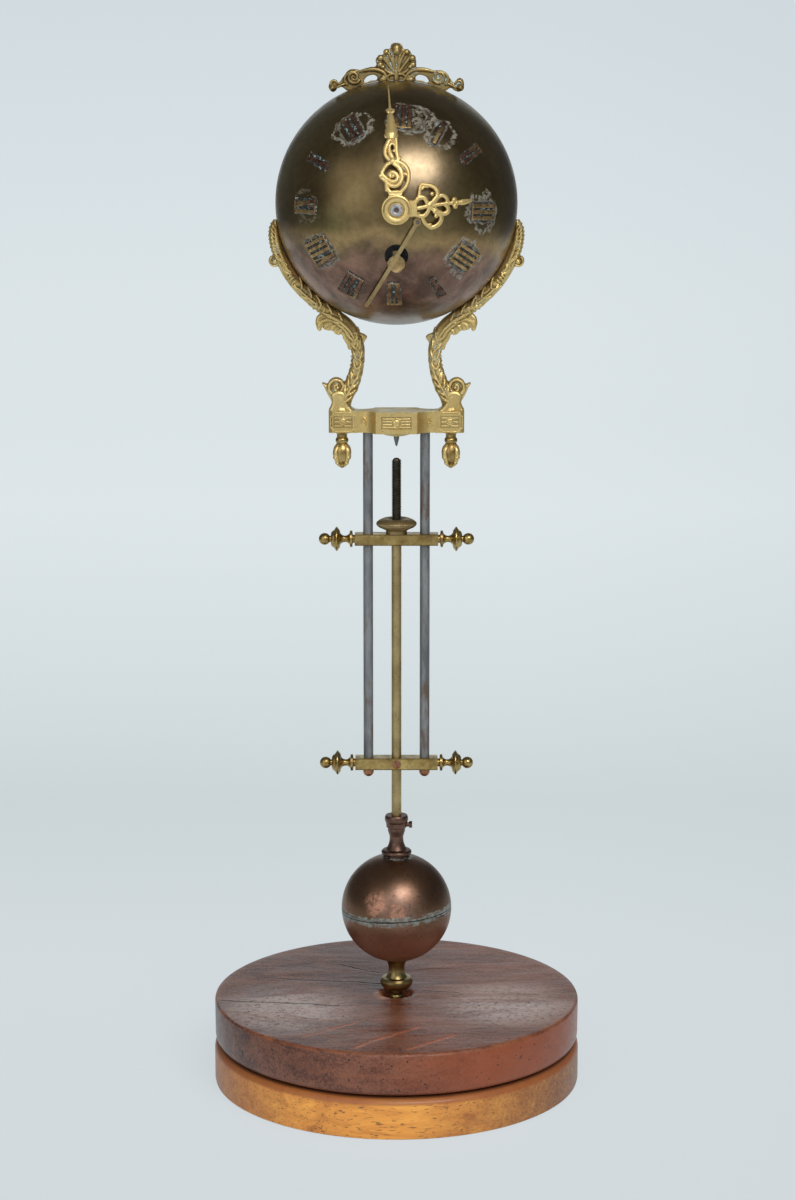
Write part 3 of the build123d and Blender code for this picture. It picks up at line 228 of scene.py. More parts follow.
def flat(corners, depth, y, edge=0.12):
    """Straight-sided plate, its middle at y."""
    return plate([corners], depth, y, edge, "VECTOR", 1)


def bead(x, z, radius, y=0.0, deep=1.0, segments=16):
    deselect()
    bpy.ops.mesh.primitive_uv_sphere_add(segments=segments, ring_count=segments // 2, radius=radius * MM)
    obj = bpy.context.active_object
    obj.data.transform(Matrix.Translation((x * MM, y * MM, z * MM)) @ Matrix.Scale(deep, 4, (0, 1, 0)))
    return obj


def spiral(x, z, radius, turns, start, width, y=0.0, deep=1.0, hand=1):
    """Volute that winds inwards from its outer end at the start angle."""
    count = int(10 * turns) + 2
    points = []
    for i in range(count):
        share = i / (count - 1)
        angle = math.radians(start) + hand * share * turns * 2 * math.pi
        reach = radius * (1 - 0.78 * share)
        points.append((x + reach * math.cos(angle), z + reach * math.sin(angle)))
    return sweep(points, [width, width * 0.55], y, deep)


def lathe(name, profile, segments, place=(0, 0, 0), face_front=False):
    """Solid turned about Z, or about the line to the front, from (radius, height) points."""
    profile = list(profile) + [profile[0]]
    deselect()
    bpy.ops.mesh.primitive_circle_add(vertices=segments, radius=MM)
    obj = bpy.context.active_object
    obj.name = obj.data.name = name
    bpy.ops.object.mode_set(mode="EDIT")
    bpy.ops.mesh.select_all(action="SELECT")
    radius, height = 1.0, 0.0
    first = True
    for r, h in profile:
        if not first:
            bpy.ops.mesh.extrude_region_move()
        r = max(r, 0.01)
        bpy.ops.transform.resize(value=(r / radius, r / radius, 1))
        bpy.ops.transform.translate(value=(0, 0, (h - height) * MM))
        radius, height = r, h
        first = False
    bpy.ops.object.mode_set(mode="OBJECT")
    turn = Matrix.Rotation(math.radians(90), 4, "X") if face_front else Matrix.Identity(4)
    obj.data.transform(Matrix.Translation(Vector(place) * MM) @ turn)
    return outward(obj)


# Paint: one small helper that lays out a material's nodes

class Paint:
    def __init__(self, name, metallic=0.0, roughness=0.5, coat=0.0, coat_roughness=0.1):
        self.material = bpy.data.materials.new(name)
        self.material.use_nodes = True
        self.tree = self.material.node_tree
        self.shader = self.tree.nodes["Principled BSDF"]
        for socket, value in (("Metallic", metallic), ("Roughness", roughness), ("Coat Weight", coat),
                              ("Coat Roughness", coat_roughness), ("IOR", 1.5)):
            self.shader.inputs[socket].default_value = value
        self.place = self.node("ShaderNodeTexCoord").outputs["Object"]

    def node(self, kind, sockets=(), **settings):
        """Add a node with these settings, its sockets given values or other nodes' outputs."""
        node = self.tree.nodes.new(kind)
        for key, value in settings.items():
            setattr(node, key, value)
        for key, value in dict(sockets).items():
            self.put(node.inputs[key], value)
        return node

    def put(self, socket, value):
        if isinstance(value, bpy.types.NodeSocket):
            self.tree.links.new(value, socket)
        elif isinstance(value, (tuple, list)) and socket.type == "RGBA":
            socket.default_value = (*value[:3], 1)
        else:
            socket.default_value = value

    def mapped(self, scale=(1, 1, 1), shift=(0, 0, 0), turn=(0, 0, 0)):
        angles = [math.radians(a) for a in turn]
        return self.node("ShaderNodeMapping", {"Vector": self.place, "Scale": scale, "Location": shift,
                                               "Rotation": angles}).outputs["Vector"]

    def noise(self, scale, detail=3.0, rough=0.55, distort=0.0, vector=None):
        """Cloudy pattern, its scale in features per metre."""
        sockets = {"Vector": vector or self.place, "Scale": scale, "Detail": detail, "Roughness": rough,
                   "Distortion": distort}
        return self.node("ShaderNodeTexNoise", sockets).outputs["Fac"]

    def ramp(self, value, *stops):
        """Values or colours at positions along a value."""
        node = self.node("ShaderNodeValToRGB", {"Fac": value})
        elements = node.color_ramp.elements
        while len(elements) < len(stops):
            elements.new(0.5)
        for element, (position, colour) in zip(elements, stops):
            element.position = position
            if not isinstance(colour, (tuple, list)):
                colour = (colour, colour, colour)
            element.color = (*colour, 1)
        return node.outputs["Color"]

    def step(self, value, low, high):
        """0 up to the low value, 1 from the high one."""
        return self.ramp(value, (low, 0.0), (high, 1.0))

    def mix(self, share, first, second):
        return self.node("ShaderNodeMix", {0: share, 6: first, 7: second}, data_type="RGBA").outputs[2]

    def wash(self, tone, share, strength, colour):
        """Cover a tone with a colour by a share times a strength."""
        return self.mix(self.times(share, strength), tone, colour)

    def sum(self, operation, first, second=0.5, third=0.0):
        return self.node("ShaderNodeMath", {0: first, 1: second, 2: third}, operation=operation).outputs[0]

    def times(self, first, second):
        return self.sum("MULTIPLY", first, second)

    def most(self, first, *others):
        for other in others:
            first = self.sum("MAXIMUM", first, other)
        return first

    def vector(self, operation, first, second, output="Value"):
        return self.node("ShaderNodeVectorMath", {0: first, 1: second}, operation=operation).outputs[output]

    def split(self, vector=None):
        return self.node("ShaderNodeSeparateXYZ", {0: vector or self.place}).outputs

    def span(self, length, low, high, start=0.0, end=1.0, way="LINEAR"):
        """From start to end while a length goes from low to high, both in millimetres."""
        return self.node("ShaderNodeMapRange", {"Value": length, "From Min": low * MM, "From Max": high * MM,
                                                "To Min": start, "To Max": end},
                         interpolation_type=way).outputs["Result"]

    def axis(self, name, low, high):
        """Share of the way from low to high along X, Y or Z, in millimetres, kept within 0 and 1."""
        return self.span(self.split()[name], low, high)

    def near(self, point, inner, outer, ragged=None):
        """1 within inner millimetres of a point, falling to 0 at outer; a noise makes the edge uneven."""
        away = self.vector("DISTANCE", self.place, Vector(point) * MM)
        if ragged:
            away = self.sum("MULTIPLY_ADD", ragged, 14 * MM, self.sum("SUBTRACT", away, 7 * MM))
        return self.span(away, inner, outer, 1, 0, "SMOOTHSTEP")

    def slab(self, normal, height, inner, outer):
        """1 within inner millimetres of a plane that crosses the middle axis at a height, 0 at outer."""
        rise = self.sum("SUBTRACT", self.vector("DOT_PRODUCT", self.place, normal), height * MM)
        return self.span(self.sum("ABSOLUTE", rise), inner, outer, 1, 0)

    def line(self, start, end, width, wander):
        """1 on a wandering line between two (x, y) places on a level face, 0 beyond its width."""
        dx, dy = end[0] - start[0], end[1] - start[1]
        half = math.hypot(dx, dy) / 2 * MM
        shift = self.vector("SUBTRACT", self.place, (start[0] * MM, start[1] * MM, 0), "Vector")
        turned = self.node("ShaderNodeVectorRotate", {"Vector": shift, "Angle": -math.atan2(dy, dx)},
                           rotation_type="Z_AXIS")
        axes = self.split(turned.outputs[0])
        sway = self.sum("MULTIPLY_ADD", wander, 6 * MM, -3 * MM)
        across = self.sum("ABSOLUTE", self.sum("ADD", axes["Y"], sway))
        inside = self.most(self.sum("SUBTRACT", 1.0, self.sum("DIVIDE", across, width * MM)), 0.0)
        middle = self.sum("ABSOLUTE", self.sum("SUBTRACT", axes["X"], half))
        fade = self.most(self.sum("SUBTRACT", 1.0, self.sum("DIVIDE", middle, half)), 0.0)
        return self.times(inside, self.sum("MINIMUM", self.times(fade, 6.0), 1.0))

    def relief(self, name):
        """How far a point lies in a "hollow" or on a "crest"; 0 on pieces where it isn't marked."""
        return self.node("ShaderNodeAttribute", attribute_name=name).outputs["Fac"]

    def colour(self, value):
        self.put(self.shader.inputs["Base Color"], value)

    def rough(self, value):
        self.put(self.shader.inputs["Roughness"], value)

    def metal(self, value):
        self.put(self.shader.inputs["Metallic"], value)

    def bump(self, height, strength, distance, coat=False):
        """Surface relief, its distance in millimetres; a coat can follow it too."""
        sockets = {"Height": height, "Strength": strength, "Distance": distance * MM}
        normal = self.node("ShaderNodeBump", sockets).outputs["Normal"]
        self.put(self.shader.inputs["Normal"], normal)
        if coat:
            self.put(self.shader.inputs["Coat Normal"], normal)


def toned(colour, factor):
    return tuple(min(1.0, c * factor) for c in colour)


def worn_brass_with_painted_light(name, light, dark, rough=0.33, green=0.5, grain=900, stain_and_painted_shade=None):
    """Brass with painted shade in its recesses, painted highlights on its crests, small spots and green
    corrosion here and there.
    """
    paint = Paint(name, metallic=0.85, roughness=rough)
    cloud = paint.noise(grain * 0.12, 4, 0.6)
    tone = paint.mix(paint.step(cloud, 0.3, 0.7), dark, light)
    # Where a point is given, a painted shade darkens the brass round it.
    if stain_and_painted_shade:
        place, inner, outer, brown = stain_and_painted_shade
        tone = paint.mix(paint.near(place, inner, outer), tone, brown)
    # Painted shade darkens the hollows and painted highlights lighten the crests, read from mark_relief's
    # marks; the hollows also place the green corrosion.
    recess = paint.step(paint.relief("hollow"), 0.10, 0.75)
    crest = paint.step(paint.relief("crest"), 0.25, 0.9)
    tone = paint.wash(tone, crest, 0.45, toned(light, 1.25))
    tone = paint.wash(tone, recess, 0.9, toned(dark, 0.28))
    spots = paint.step(paint.noise(grain * 1.6, 2, 0.5), 0.60, 0.70)
    tone = paint.wash(tone, spots, 0.5, toned(dark, 0.35))
    patch = paint.step(paint.noise(grain * 0.14, 5, 0.7), 0.50, 0.60)
    level = paint.slab((0, 0, 1), BRACKET_TOP, 0.1, 0.4)
    settled = paint.most(paint.times(recess, green), paint.times(level, 0.6))
    verdigris = paint.times(patch, settled)
    paint.colour(paint.mix(verdigris, tone, (0.36, 0.50, 0.49)))
    paint.metal(paint.ramp(verdigris, (0.1, 0.85), (0.6, 0.1)))
    paint.rough(paint.ramp(cloud, (0.3, rough + 0.12), (0.7, rough - 0.06)))
    paint.bump(paint.noise(grain, 3, 0.6), 0.25, 0.08)
    return paint.material


def turned_brass():
    paint = Paint("turned_brass", metallic=1.0, roughness=0.3)
    cloud = paint.noise(160, 5, 0.65)
    tone = paint.ramp(cloud, (0.3, (0.20, 0.12, 0.045)), (0.5, (0.44, 0.31, 0.11)), (0.7, (0.62, 0.46, 0.18)))
    spots = paint.step(paint.noise(1500, 2, 0.5), 0.62, 0.72)
    tone = paint.wash(tone, spots, 0.5, (0.09, 0.05, 0.025))
    paint.colour(tone)
    paint.rough(paint.ramp(cloud, (0.3, 0.42), (0.7, 0.24)))
    paint.bump(paint.noise(1800, 3, 0.6), 0.15, 0.06)
    return paint.material


# Stains of old solder on the ball: clock angle, distance from the hub, reach, strength
STAINS = ((5.5, 41.5, 8.4, 0.6), (15.0, 42.8, 5.6, 0.7), (30.0, 39.0, 7.6, 0.8), (92.8, 39.6, 9.2, 0.9),
          (126.0, 38.6, 9.4, 0.8), (240.4, 40.3, 8.8, 0.5), (270.8, 41.9, 7.6, 0.45),
          (331.2, 41.3, 9.0, 0.95))


def on_ball(angle, distance):
    """Place on the ball's front at a clock angle and a distance from the hub."""
    turn, polar = math.radians(angle), math.asin(distance / BALL_R)
    return (BALL_R * math.sin(polar) * math.sin(turn), -BALL_R * math.cos(polar),
            BALL_Z + BALL_R * math.sin(polar) * math.cos(turn))


def case_bronze():
    """The ball's brown patina: olive above, violet below, a golden edge between; a painted highlight and
    floor reflection.
    """
    paint = Paint("case_bronze", metallic=1.0, roughness=0.3)
    wide = paint.noise(17, 5, 0.6, 0.5)
    tone = paint.ramp(wide, (0.32, (0.125, 0.080, 0.036)), (0.50, (0.225, 0.164, 0.075)),
                      (0.66, (0.31, 0.250, 0.105)))
    uneven = paint.noise(26, 4, 0.55, 0.3, paint.mapped(shift=(3, 1, 2)))
    edge = paint.sum("MULTIPLY_ADD", uneven, 0.62, paint.axis("Z", BALL_Z - 44, BALL_Z + 12))
    violet = paint.ramp(edge, (0.66, 1.0), (0.88, 0.0))
    rim = paint.ramp(edge, (0.74, 0.0), (0.84, 1.0), (0.96, 0.0))
    murk = paint.ramp(paint.noise(60, 5, 0.65, 0.4), (0.38, (0.125, 0.078, 0.058)),
                      (0.62, (0.335, 0.195, 0.140)))
    tone = paint.mix(violet, tone, murk)
    tone = paint.wash(tone, rim, 0.65, (0.50, 0.33, 0.15))
    # Painted reflection of the floor: lighter grey towards the bottom of the ball.
    base = paint.axis("Z", BALL_Z - 45, BALL_Z - 52)
    tone = paint.wash(tone, base, 0.6, (0.36, 0.31, 0.27))
    # Painted highlight: lighter, yellower patina on the front, above and right of the hub.
    painted_highlight = paint.near((10, -52, BALL_Z + 16), 3, 24)
    tone = paint.wash(tone, painted_highlight, 0.6, (0.42, 0.32, 0.21))
    fine = paint.step(paint.noise(380, 4, 0.7), 0.42, 0.64)
    tone = paint.wash(tone, fine, 0.25, (0.085, 0.062, 0.034))
    ragged = paint.noise(150, 4, 0.6)
    bands = []
    for angle, distance, reach, strength in STAINS:
        outer, inner = (paint.near(on_ball(angle, distance), *limits, ragged)
                        for limits in ((reach, reach + 0.9), (reach - 2.6, reach - 1.2)))
        bands.append(paint.times(paint.sum("SUBTRACT", outer, inner), strength))
    brown = paint.near(on_ball(15.0, 42.8), 3.6, 5.0, ragged)
    tone = paint.wash(tone, brown, 0.5, (0.16, 0.085, 0.05))
    broken = paint.ramp(paint.noise(620, 5, 0.72), (0.42, 0.1), (0.55, 1.0))
    stain_and_painted_shade = paint.times(paint.most(*bands), broken)
    paint.colour(paint.mix(stain_and_painted_shade, tone, (0.27, 0.265, 0.225)))
    paint.metal(paint.ramp(stain_and_painted_shade, (0.1, 1.0), (0.7, 0.4)))
    paint.rough(paint.ramp(paint.noise(60, 5, 0.7), (0.35, 0.37), (0.65, 0.28)))
    paint.bump(paint.noise(700, 3, 0.6), 0.05, 0.05)
    return paint.material


def bob_copper():
    """Copper-brown patina, rubbed through in patches by the seam and crusted along it."""
    paint = Paint("bob_copper", metallic=1.0, roughness=0.38)
    wide = paint.noise(45, 5, 0.65, 0.3)
    tone = paint.ramp(wide, (0.3, (0.105, 0.062, 0.036)), (0.5, (0.19, 0.105, 0.062)),
                      (0.7, (0.26, 0.145, 0.088)))
    # Painted light reflected up from the stand: lighter copper towards the bottom.
    low = paint.axis("Z", BOB_Z, BOB_Z - 20)
    tone = paint.wash(tone, low, 0.75, (0.46, 0.215, 0.135))
    scuff = paint.noise(220, 5, 0.72)
    broad = paint.near((2, -26, BOB_Z + 8), 3, 16)
    tone = paint.wash(tone, broad, paint.ramp(scuff, (0.35, 0.3), (0.6, 0.75)), (0.42, 0.255, 0.19))
    left_rub = paint.times(paint.near((-9.6, -24, BOB_Z + 8), 3.5, 7.5, scuff), 0.6)
    rub = paint.most(left_rub, paint.near((0.8, -26.5, BOB_Z + 5.8), 1.8, 4.8, scuff))
    torn = paint.ramp(paint.noise(420, 5, 0.7), (0.42, 0.15), (0.52, 1.0))
    tone = paint.wash(tone, rub, torn, (0.66, 0.335, 0.225))
    speck = paint.step(paint.noise(900, 3, 0.6), 0.60, 0.68)
    tone = paint.wash(tone, speck, 0.6, (0.05, 0.03, 0.02))
    leaning = (-0.055, 0, 1)
    crust = paint.step(paint.noise(260, 5, 0.7), 0.38, 0.56)
    shown = paint.times(paint.slab(leaning, BOB_Z, 1.1, 3.3), crust)
    shown = paint.step(paint.most(shown, paint.times(paint.slab(leaning, BOB_Z, 0.9, 1.3), 0.55)), 0.2, 0.45)
    dusty = paint.ramp(paint.noise(500, 3, 0.6), (0.4, (0.10, 0.10, 0.085)), (0.6, (0.25, 0.275, 0.25)))
    tone = paint.wash(tone, shown, 0.85, dusty)
    tone = paint.mix(paint.slab(leaning, BOB_Z, 0.12, 0.42), tone, (0.012, 0.010, 0.008))
    solder = paint.near((0, 0, BOB_Z + BOB_R), 7.6, 9.4)
    shown_top = paint.times(solder, paint.ramp(paint.noise(420, 4, 0.7), (0.48, 0.0), (0.56, 0.8)))
    paint.colour(paint.mix(shown_top, tone, (0.24, 0.28, 0.27)))
    crusted = paint.ramp(paint.most(shown, shown_top), (0.3, 1.0), (0.8, 0.3))
    paint.metal(paint.sum("SUBTRACT", crusted, paint.times(low, 0.3)))
    paint.rough(paint.ramp(wide, (0.3, 0.45), (0.7, 0.33)))
    paint.bump(paint.noise(500, 4, 0.65), 0.14, 0.1)
    return paint.material


def grey_steel():
    """Drawn steel with a grey skin, rusty in streaks."""
    paint = Paint("grey_steel", metallic=0.6, roughness=0.5)
    along = paint.mapped(scale=(1, 1, 0.25))
    tone = paint.ramp(paint.noise(220, 5, 0.65, 0.0, along), (0.35, (0.13, 0.135, 0.14)),
                      (0.6, (0.24, 0.25, 0.255)))
    rust = paint.step(paint.noise(140, 5, 0.7, 0.0, along), 0.53, 0.62)
    tone = paint.wash(tone, rust, 0.75, (0.13, 0.075, 0.04))
    paint.colour(tone)
    paint.bump(paint.noise(900, 3, 0.6), 0.25, 0.1)
    return paint.material


def plain_metal(name, tone, rough=0.4, darkening=0.5):
    paint = Paint(name, metallic=1.0, roughness=rough)
    cloud = paint.step(paint.noise(300, 4, 0.6), 0.4, 0.65)
    paint.colour(paint.wash(tone, cloud, darkening, toned(tone, 0.3)))
    paint.bump(paint.noise(1200, 2, 0.5), 0.1, 0.05)
    return paint.material


def mahogany(name, stops, lean, coat, coat_roughness):
    """Varnished wood: long grain, pores and a glossy coat; the callers' bumps give the coat its wrinkles."""
    paint = Paint(name, metallic=0.0, roughness=0.6, coat=coat, coat_roughness=coat_roughness)
    grain = paint.mapped(scale=(0.12, 1, 0.9), turn=(0, 4, lean))
    streak = paint.noise(150, 6, 0.68, 0.6, grain)
    tone = paint.ramp(streak, *stops)
    pores = paint.step(paint.noise(1300, 2, 0.5, 0.0, paint.mapped(scale=(0.14, 1, 1), turn=(0, 4, lean))),
                       0.60, 0.67)
    return paint, paint.wash(tone, pores, 0.65, (0.03, 0.012, 0.008)), streak


# Marks in the upper disc's varnish: where they start and end, and their width
CRACKS = (((-62, 22), (2, 12), 1.1), ((-88, -12), (-24, -20), 1.1), ((12, 4), (32, 0), 0.8),
          ((-30, 45), (-8, 30), 0.8))
SCRATCHES = (((-22, -82), (12, -50), 1.9), ((4, -84), (30, -62), 1.6), ((-46, -66), (-18, -44), 1.0))


def dark_mahogany():
    """Upper disc: wrinkled dark varnish on top with cracks and bright scratches; painted sheen, shade at the
    left, redder light at the right.
    """
    lean = -35
    stops = (0.30, (0.045, 0.012, 0.007)), (0.5, (0.120, 0.031, 0.013)), (0.68, (0.225, 0.066, 0.024))
    paint, tone, streak = mahogany("dark_mahogany", stops, lean, 0.5, 0.09)
    paint.shader.inputs["Specular IOR Level"].default_value = 0.3
    sheet = paint.mapped(scale=(0.4, 1, 1), turn=(0, 0, lean))
    # Painted shade: darker towards the left.
    tone = paint.wash(tone, paint.axis("X", 12, -62), 0.6, (0.034, 0.015, 0.011))
    rough_skin = paint.noise(750, 4, 0.72, 0.4)
    blotch = paint.sum("MULTIPLY_ADD", paint.noise(60, 4, 0.6, 0.6, sheet), 0.8, rough_skin)
    tone = paint.mix(paint.ramp(blotch, (0.80, 0.0), (1.0, 0.7)), tone, (0.215, 0.080, 0.042))
    # Painted sheen: pale grey-pink patches on the top at the left and right, a painted reflection of the
    # backdrop in the varnish.
    lobes = paint.most(paint.near((-52, -26, STAND_TOP), 10, 46), paint.near((54, -18, STAND_TOP), 10, 44))
    patchy = paint.ramp(paint.noise(34, 5, 0.68, 0.8, sheet), (0.40, 0.2), (0.54, 1.0))
    sheen_breakup = paint.ramp(paint.noise(420, 4, 0.7), (0.38, 0.35), (0.52, 1.0))
    painted_sheen = paint.times(paint.times(lobes, patchy), paint.axis("Z", STAND_TOP - 0.4, STAND_TOP - 0.1))
    tone = paint.wash(tone, paint.times(painted_sheen, sheen_breakup), 0.9, (0.43, 0.34, 0.305))
    # Painted light: the side below the top edge brighter and redder towards the right.
    bright = paint.times(paint.axis("X", -8, 45), paint.axis("Z", STAND_TOP - 0.5, STAND_TOP - 1.7))
    tone = paint.wash(tone, bright, 0.8, (0.26, 0.056, 0.014))
    pits = paint.step(paint.noise(480, 2, 0.5, 0.0, paint.mapped(shift=(1, 2, 3))), 0.67, 0.71)
    tone = paint.mix(pits, tone, (0.012, 0.006, 0.005))
    wobble = paint.noise(60, 4, 0.6)
    cracks, scratches = (paint.most(*(paint.line(*mark, wobble) for mark in marks))
                         for marks in (CRACKS, SCRATCHES))
    broken = paint.ramp(paint.noise(330, 3, 0.6), (0.36, 0.15), (0.5, 1.0))
    tone = paint.wash(tone, scratches, broken, (0.40, 0.095, 0.025))
    torn = paint.near((-3, -3, STAND_TOP), 7.0, 9.8)
    tone = paint.wash(tone, torn, paint.ramp(wobble, (0.4, 0.2), (0.55, 1.0)), (0.42, 0.16, 0.06))
    rim = paint.ramp(paint.near((0, 0, STAND_TOP), 87.5, 89.5), (0.0, 1.0), (1.0, 0.0))
    edge = paint.times(paint.slab((0, 0, 1), STAND_TOP - 0.5, 0.4, 1.4), rim)
    tone = paint.wash(tone, edge, paint.ramp(wobble, (0.46, 0.0), (0.56, 0.55)), (0.27, 0.085, 0.030))
    paint.colour(paint.mix(cracks, tone, (0.008, 0.004, 0.004)))
    wrinkle = paint.noise(80, 6, 0.72, 0.6, sheet)
    swell = paint.noise(26, 3, 0.5, 0.4, sheet)
    ripple = paint.sum("MULTIPLY_ADD", rough_skin, 0.26, paint.sum("MULTIPLY_ADD", swell, 2.6, wrinkle))
    dents = paint.sum("SUBTRACT", ripple, paint.times(cracks, 1.2))
    paint.bump(paint.sum("SUBTRACT", dents, paint.times(scratches, 0.2)), 0.8, 1.0, coat=True)
    paint.rough(paint.ramp(streak, (0.3, 0.6), (0.7, 0.45)))
    return paint.material


def amber_mahogany():
    """Lower disc: bright amber varnish, dark speckle at the right, painted shade at the left and on the
    rounded edge, painted shadow in the seam.
    """
    stops = (0.30, (0.42, 0.145, 0.022)), (0.5, (0.66, 0.265, 0.042)), (0.68, (0.82, 0.38, 0.062))
    paint, tone, _ = mahogany("amber_mahogany", stops, 4, 0.35, 0.22)
    speckle = paint.ramp(paint.noise(600, 4, 0.7), (0.35, 0.6), (0.6, 1.0))
    tone = paint.wash(tone, paint.times(paint.axis("X", 5, 78), speckle), 0.9, (0.13, 0.045, 0.022))
    # Painted shade at the left and on the rounded top edge, and a painted shadow in the seam under the upper
    # disc.
    for name, low, high, strength, shade in (("X", -45, -88, 0.6, (0.30, 0.095, 0.035)),
                                             ("Z", 16.4, 17.6, 0.8, (0.27, 0.075, 0.018)),
                                             ("Z", 19.3, 20.2, 0.9, (0.035, 0.012, 0.008))):
        tone = paint.wash(tone, paint.axis(name, low, high), strength, shade)
    paint.colour(tone)
    paint.bump(paint.noise(300, 5, 0.65), 0.3, 0.25, coat=True)
    return paint.material


def numeral_paint():
    """Numerals: worn brown and gold faces over black and pale blue corrosion."""
    paint = Paint("numeral_brass", metallic=0.75, roughness=0.42)
    rise = paint.vector("DISTANCE", paint.place, (0, 0, BALL_Z * MM))
    rise = paint.span(rise, BALL_R + 0.60, BALL_R + 0.85)
    gold = paint.step(paint.noise(28, 2, 0.5), 0.42, 0.58)
    cloud = paint.noise(420, 4, 0.65)
    fresh = paint.ramp(cloud, (0.35, (0.20, 0.115, 0.045)), (0.65, (0.50, 0.35, 0.16)))
    stale = paint.ramp(cloud, (0.35, (0.055, 0.028, 0.020)), (0.65, (0.19, 0.095, 0.058)))
    face = paint.mix(gold, stale, fresh)
    pale = paint.step(paint.noise(650, 4, 0.7), 0.55, 0.63)
    side = paint.mix(pale, (0.022, 0.020, 0.016), (0.24, 0.35, 0.34))
    paint.colour(paint.mix(rise, side, face))
    paint.metal(paint.ramp(rise, (0.2, 0.0), (0.8, 0.85)))
    paint.bump(paint.noise(1500, 3, 0.6), 0.3, 0.1)
    return paint.material


def crust_paint():
    paint = Paint("solder_crust", metallic=0.35, roughness=0.55)
    cloud = paint.noise(450, 5, 0.7)
    paint.colour(paint.ramp(cloud, (0.38, (0.075, 0.058, 0.040)), (0.52, (0.13, 0.115, 0.090)),
                            (0.68, (0.25, 0.26, 0.24))))
    paint.bump(paint.noise(1300, 3, 0.6), 0.6, 0.2)
    return paint.material


def screw_paint():
    """Pale zinc-grey screw head, dark brown round its middle."""
    paint = Paint("hub_screw_steel", metallic=0.7, roughness=0.4)
    darkening = paint.near((0, -63.4, BALL_Z), 0.9, 1.7)
    cloud = paint.step(paint.noise(700, 4, 0.7), 0.42, 0.56)
    tone = paint.ramp(paint.noise(500, 4, 0.6), (0.35, (0.30, 0.31, 0.32)), (0.6, (0.58, 0.60, 0.62)))
    tone = paint.wash(tone, darkening, 0.95, (0.075, 0.045, 0.035))
    paint.colour(paint.wash(tone, cloud, 0.3, (0.20, 0.13, 0.09)))
    paint.bump(paint.noise(900, 3, 0.6), 0.3, 0.12)
    return paint.material


def scoop_paint():
    """Soft yellow brass inside the winding hole, where little light falls."""
    paint = Paint("scoop_brass", metallic=0.35, roughness=0.4)
    cloud = paint.noise(260, 4, 0.6)
    paint.colour(paint.ramp(cloud, (0.35, (0.46, 0.31, 0.125)), (0.65, (0.78, 0.58, 0.29))))
    return paint.material


finishes = {
    "dark_mahogany": dark_mahogany(),
    "amber_mahogany": amber_mahogany(),
    "bob_copper": bob_copper(),
    "ballast_iron": plain_metal("ballast_iron", (0.10, 0.10, 0.10), 0.7),
    "cast_brass": worn_brass_with_painted_light("cast_brass", (0.80, 0.61, 0.26), (0.56, 0.405, 0.145), 0.38, 0.75),
    "turned_brass": turned_brass(),
    "rod_brass": worn_brass_with_painted_light("rod_brass", (0.50, 0.39, 0.185), (0.28, 0.205, 0.09), 0.38, 0.2, 700),
    "copper": plain_metal("copper", (0.42, 0.20, 0.11), 0.42),
    "case_bronze": case_bronze(),
    # hand_brass: a painted shade round the minute hand's tip.
    "hand_brass": worn_brass_with_painted_light("hand_brass", (0.88, 0.67, 0.29), (0.66, 0.47, 0.18), 0.42, 0.3, 1500,
                             ((-3.7, -21, BALL_Z + 55), 5, 12, (0.20, 0.115, 0.045))),
    "movement_brass": plain_metal("movement_brass", (0.66, 0.50, 0.22), 0.34, 0.3),
    "steel": grey_steel(),
    "blued_steel": plain_metal("blued_steel", (0.10, 0.12, 0.20), 0.3, 0.3),
}
for part in frame["record"]["subparts"]:
    node = nodes[part["node"]]
    node.data.materials.clear()
    node.data.materials.append(finishes[part["material_slot"]])
for names, paint in ((("key_scoop", "winding_arbor"), scoop_paint()),
                     (("pointer",), plain_metal("pointer_brass", (0.50, 0.36, 0.17), 0.38, 0.4)),
                     (("bob_neck", "bob_neck_screw"),
                      plain_metal("neck_copper", (0.20, 0.115, 0.085), 0.4, 0.5)),
                     (("bob_foot",), plain_metal("foot_brass", (0.34, 0.25, 0.10), 0.3, 0.5))):
    for name in names:
        nodes[name].data.materials.clear()
        nodes[name].data.materials.append(paint)

crown_brass = worn_brass_with_painted_light("crown_brass", (0.50, 0.37, 0.15), (0.20, 0.14, 0.055), 0.36, 1.0)
# Darker brass for the panels' sunk grounds: painted shade behind the bars.
panel_shade_brass = worn_brass_with_painted_light("panel_shade_brass", (0.50, 0.375, 0.165), (0.32, 0.23, 0.09), 0.45, 0.5)


def finish(obj, body, slot, *replaced, paint=None):
    """Give a finished piece its material and its body, and hide the nodes it stands for."""
    obj.data.materials.clear()
    obj.data.materials.append(paint or finishes[slot])
    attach(obj, body)
    if replaced:
        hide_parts(*replaced)
    return obj


# The two scroll arms that hold the ball

# Middle line of the right arm from tip to foot: distance out, height, width
ARM_LINE = ((56.9, 424.0, 2.6), (57.7, 420.2, 4.5), (57.5, 416.4, 5.3), (56.5, 411.8, 6.0),
            (54.8, 407.2, 6.5), (52.7, 402.8, 6.9), (49.6, 397.6, 7.1), (45.9, 392.8, 7.1),
            (41.8, 388.6, 7.0), (37.7, 385.0, 6.8), (33.2, 381.6, 6.5), (28.6, 378.0, 6.9),
            (24.0, 374.2, 7.2), (20.4, 369.4, 7.0), (18.5, 364.2, 6.4), (18.2, 358.4, 6.0),
            (18.9, 353.6, 6.4), (20.2, 349.0, 6.8), (22.0, 344.6, 7.4), (24.4, 340.6, 8.0),
            (25.8, 336.6, 8.4), (26.1, 333.7, 11.0))
# The same line read by height, and half the arm's depth at heights above the bracket
ARM_X = [(z, x) for x, z, _ in reversed(ARM_LINE)]
ARM_HALF = [(z, width / 2) for _, z, width in reversed(ARM_LINE)]
ARM_DEPTH = ((0, 5.6), (3, 4.4), (10, 4.4), (25, 3.4), (40, 4.5), (60, 4.2), (78, 3.4), (96, 2.2))


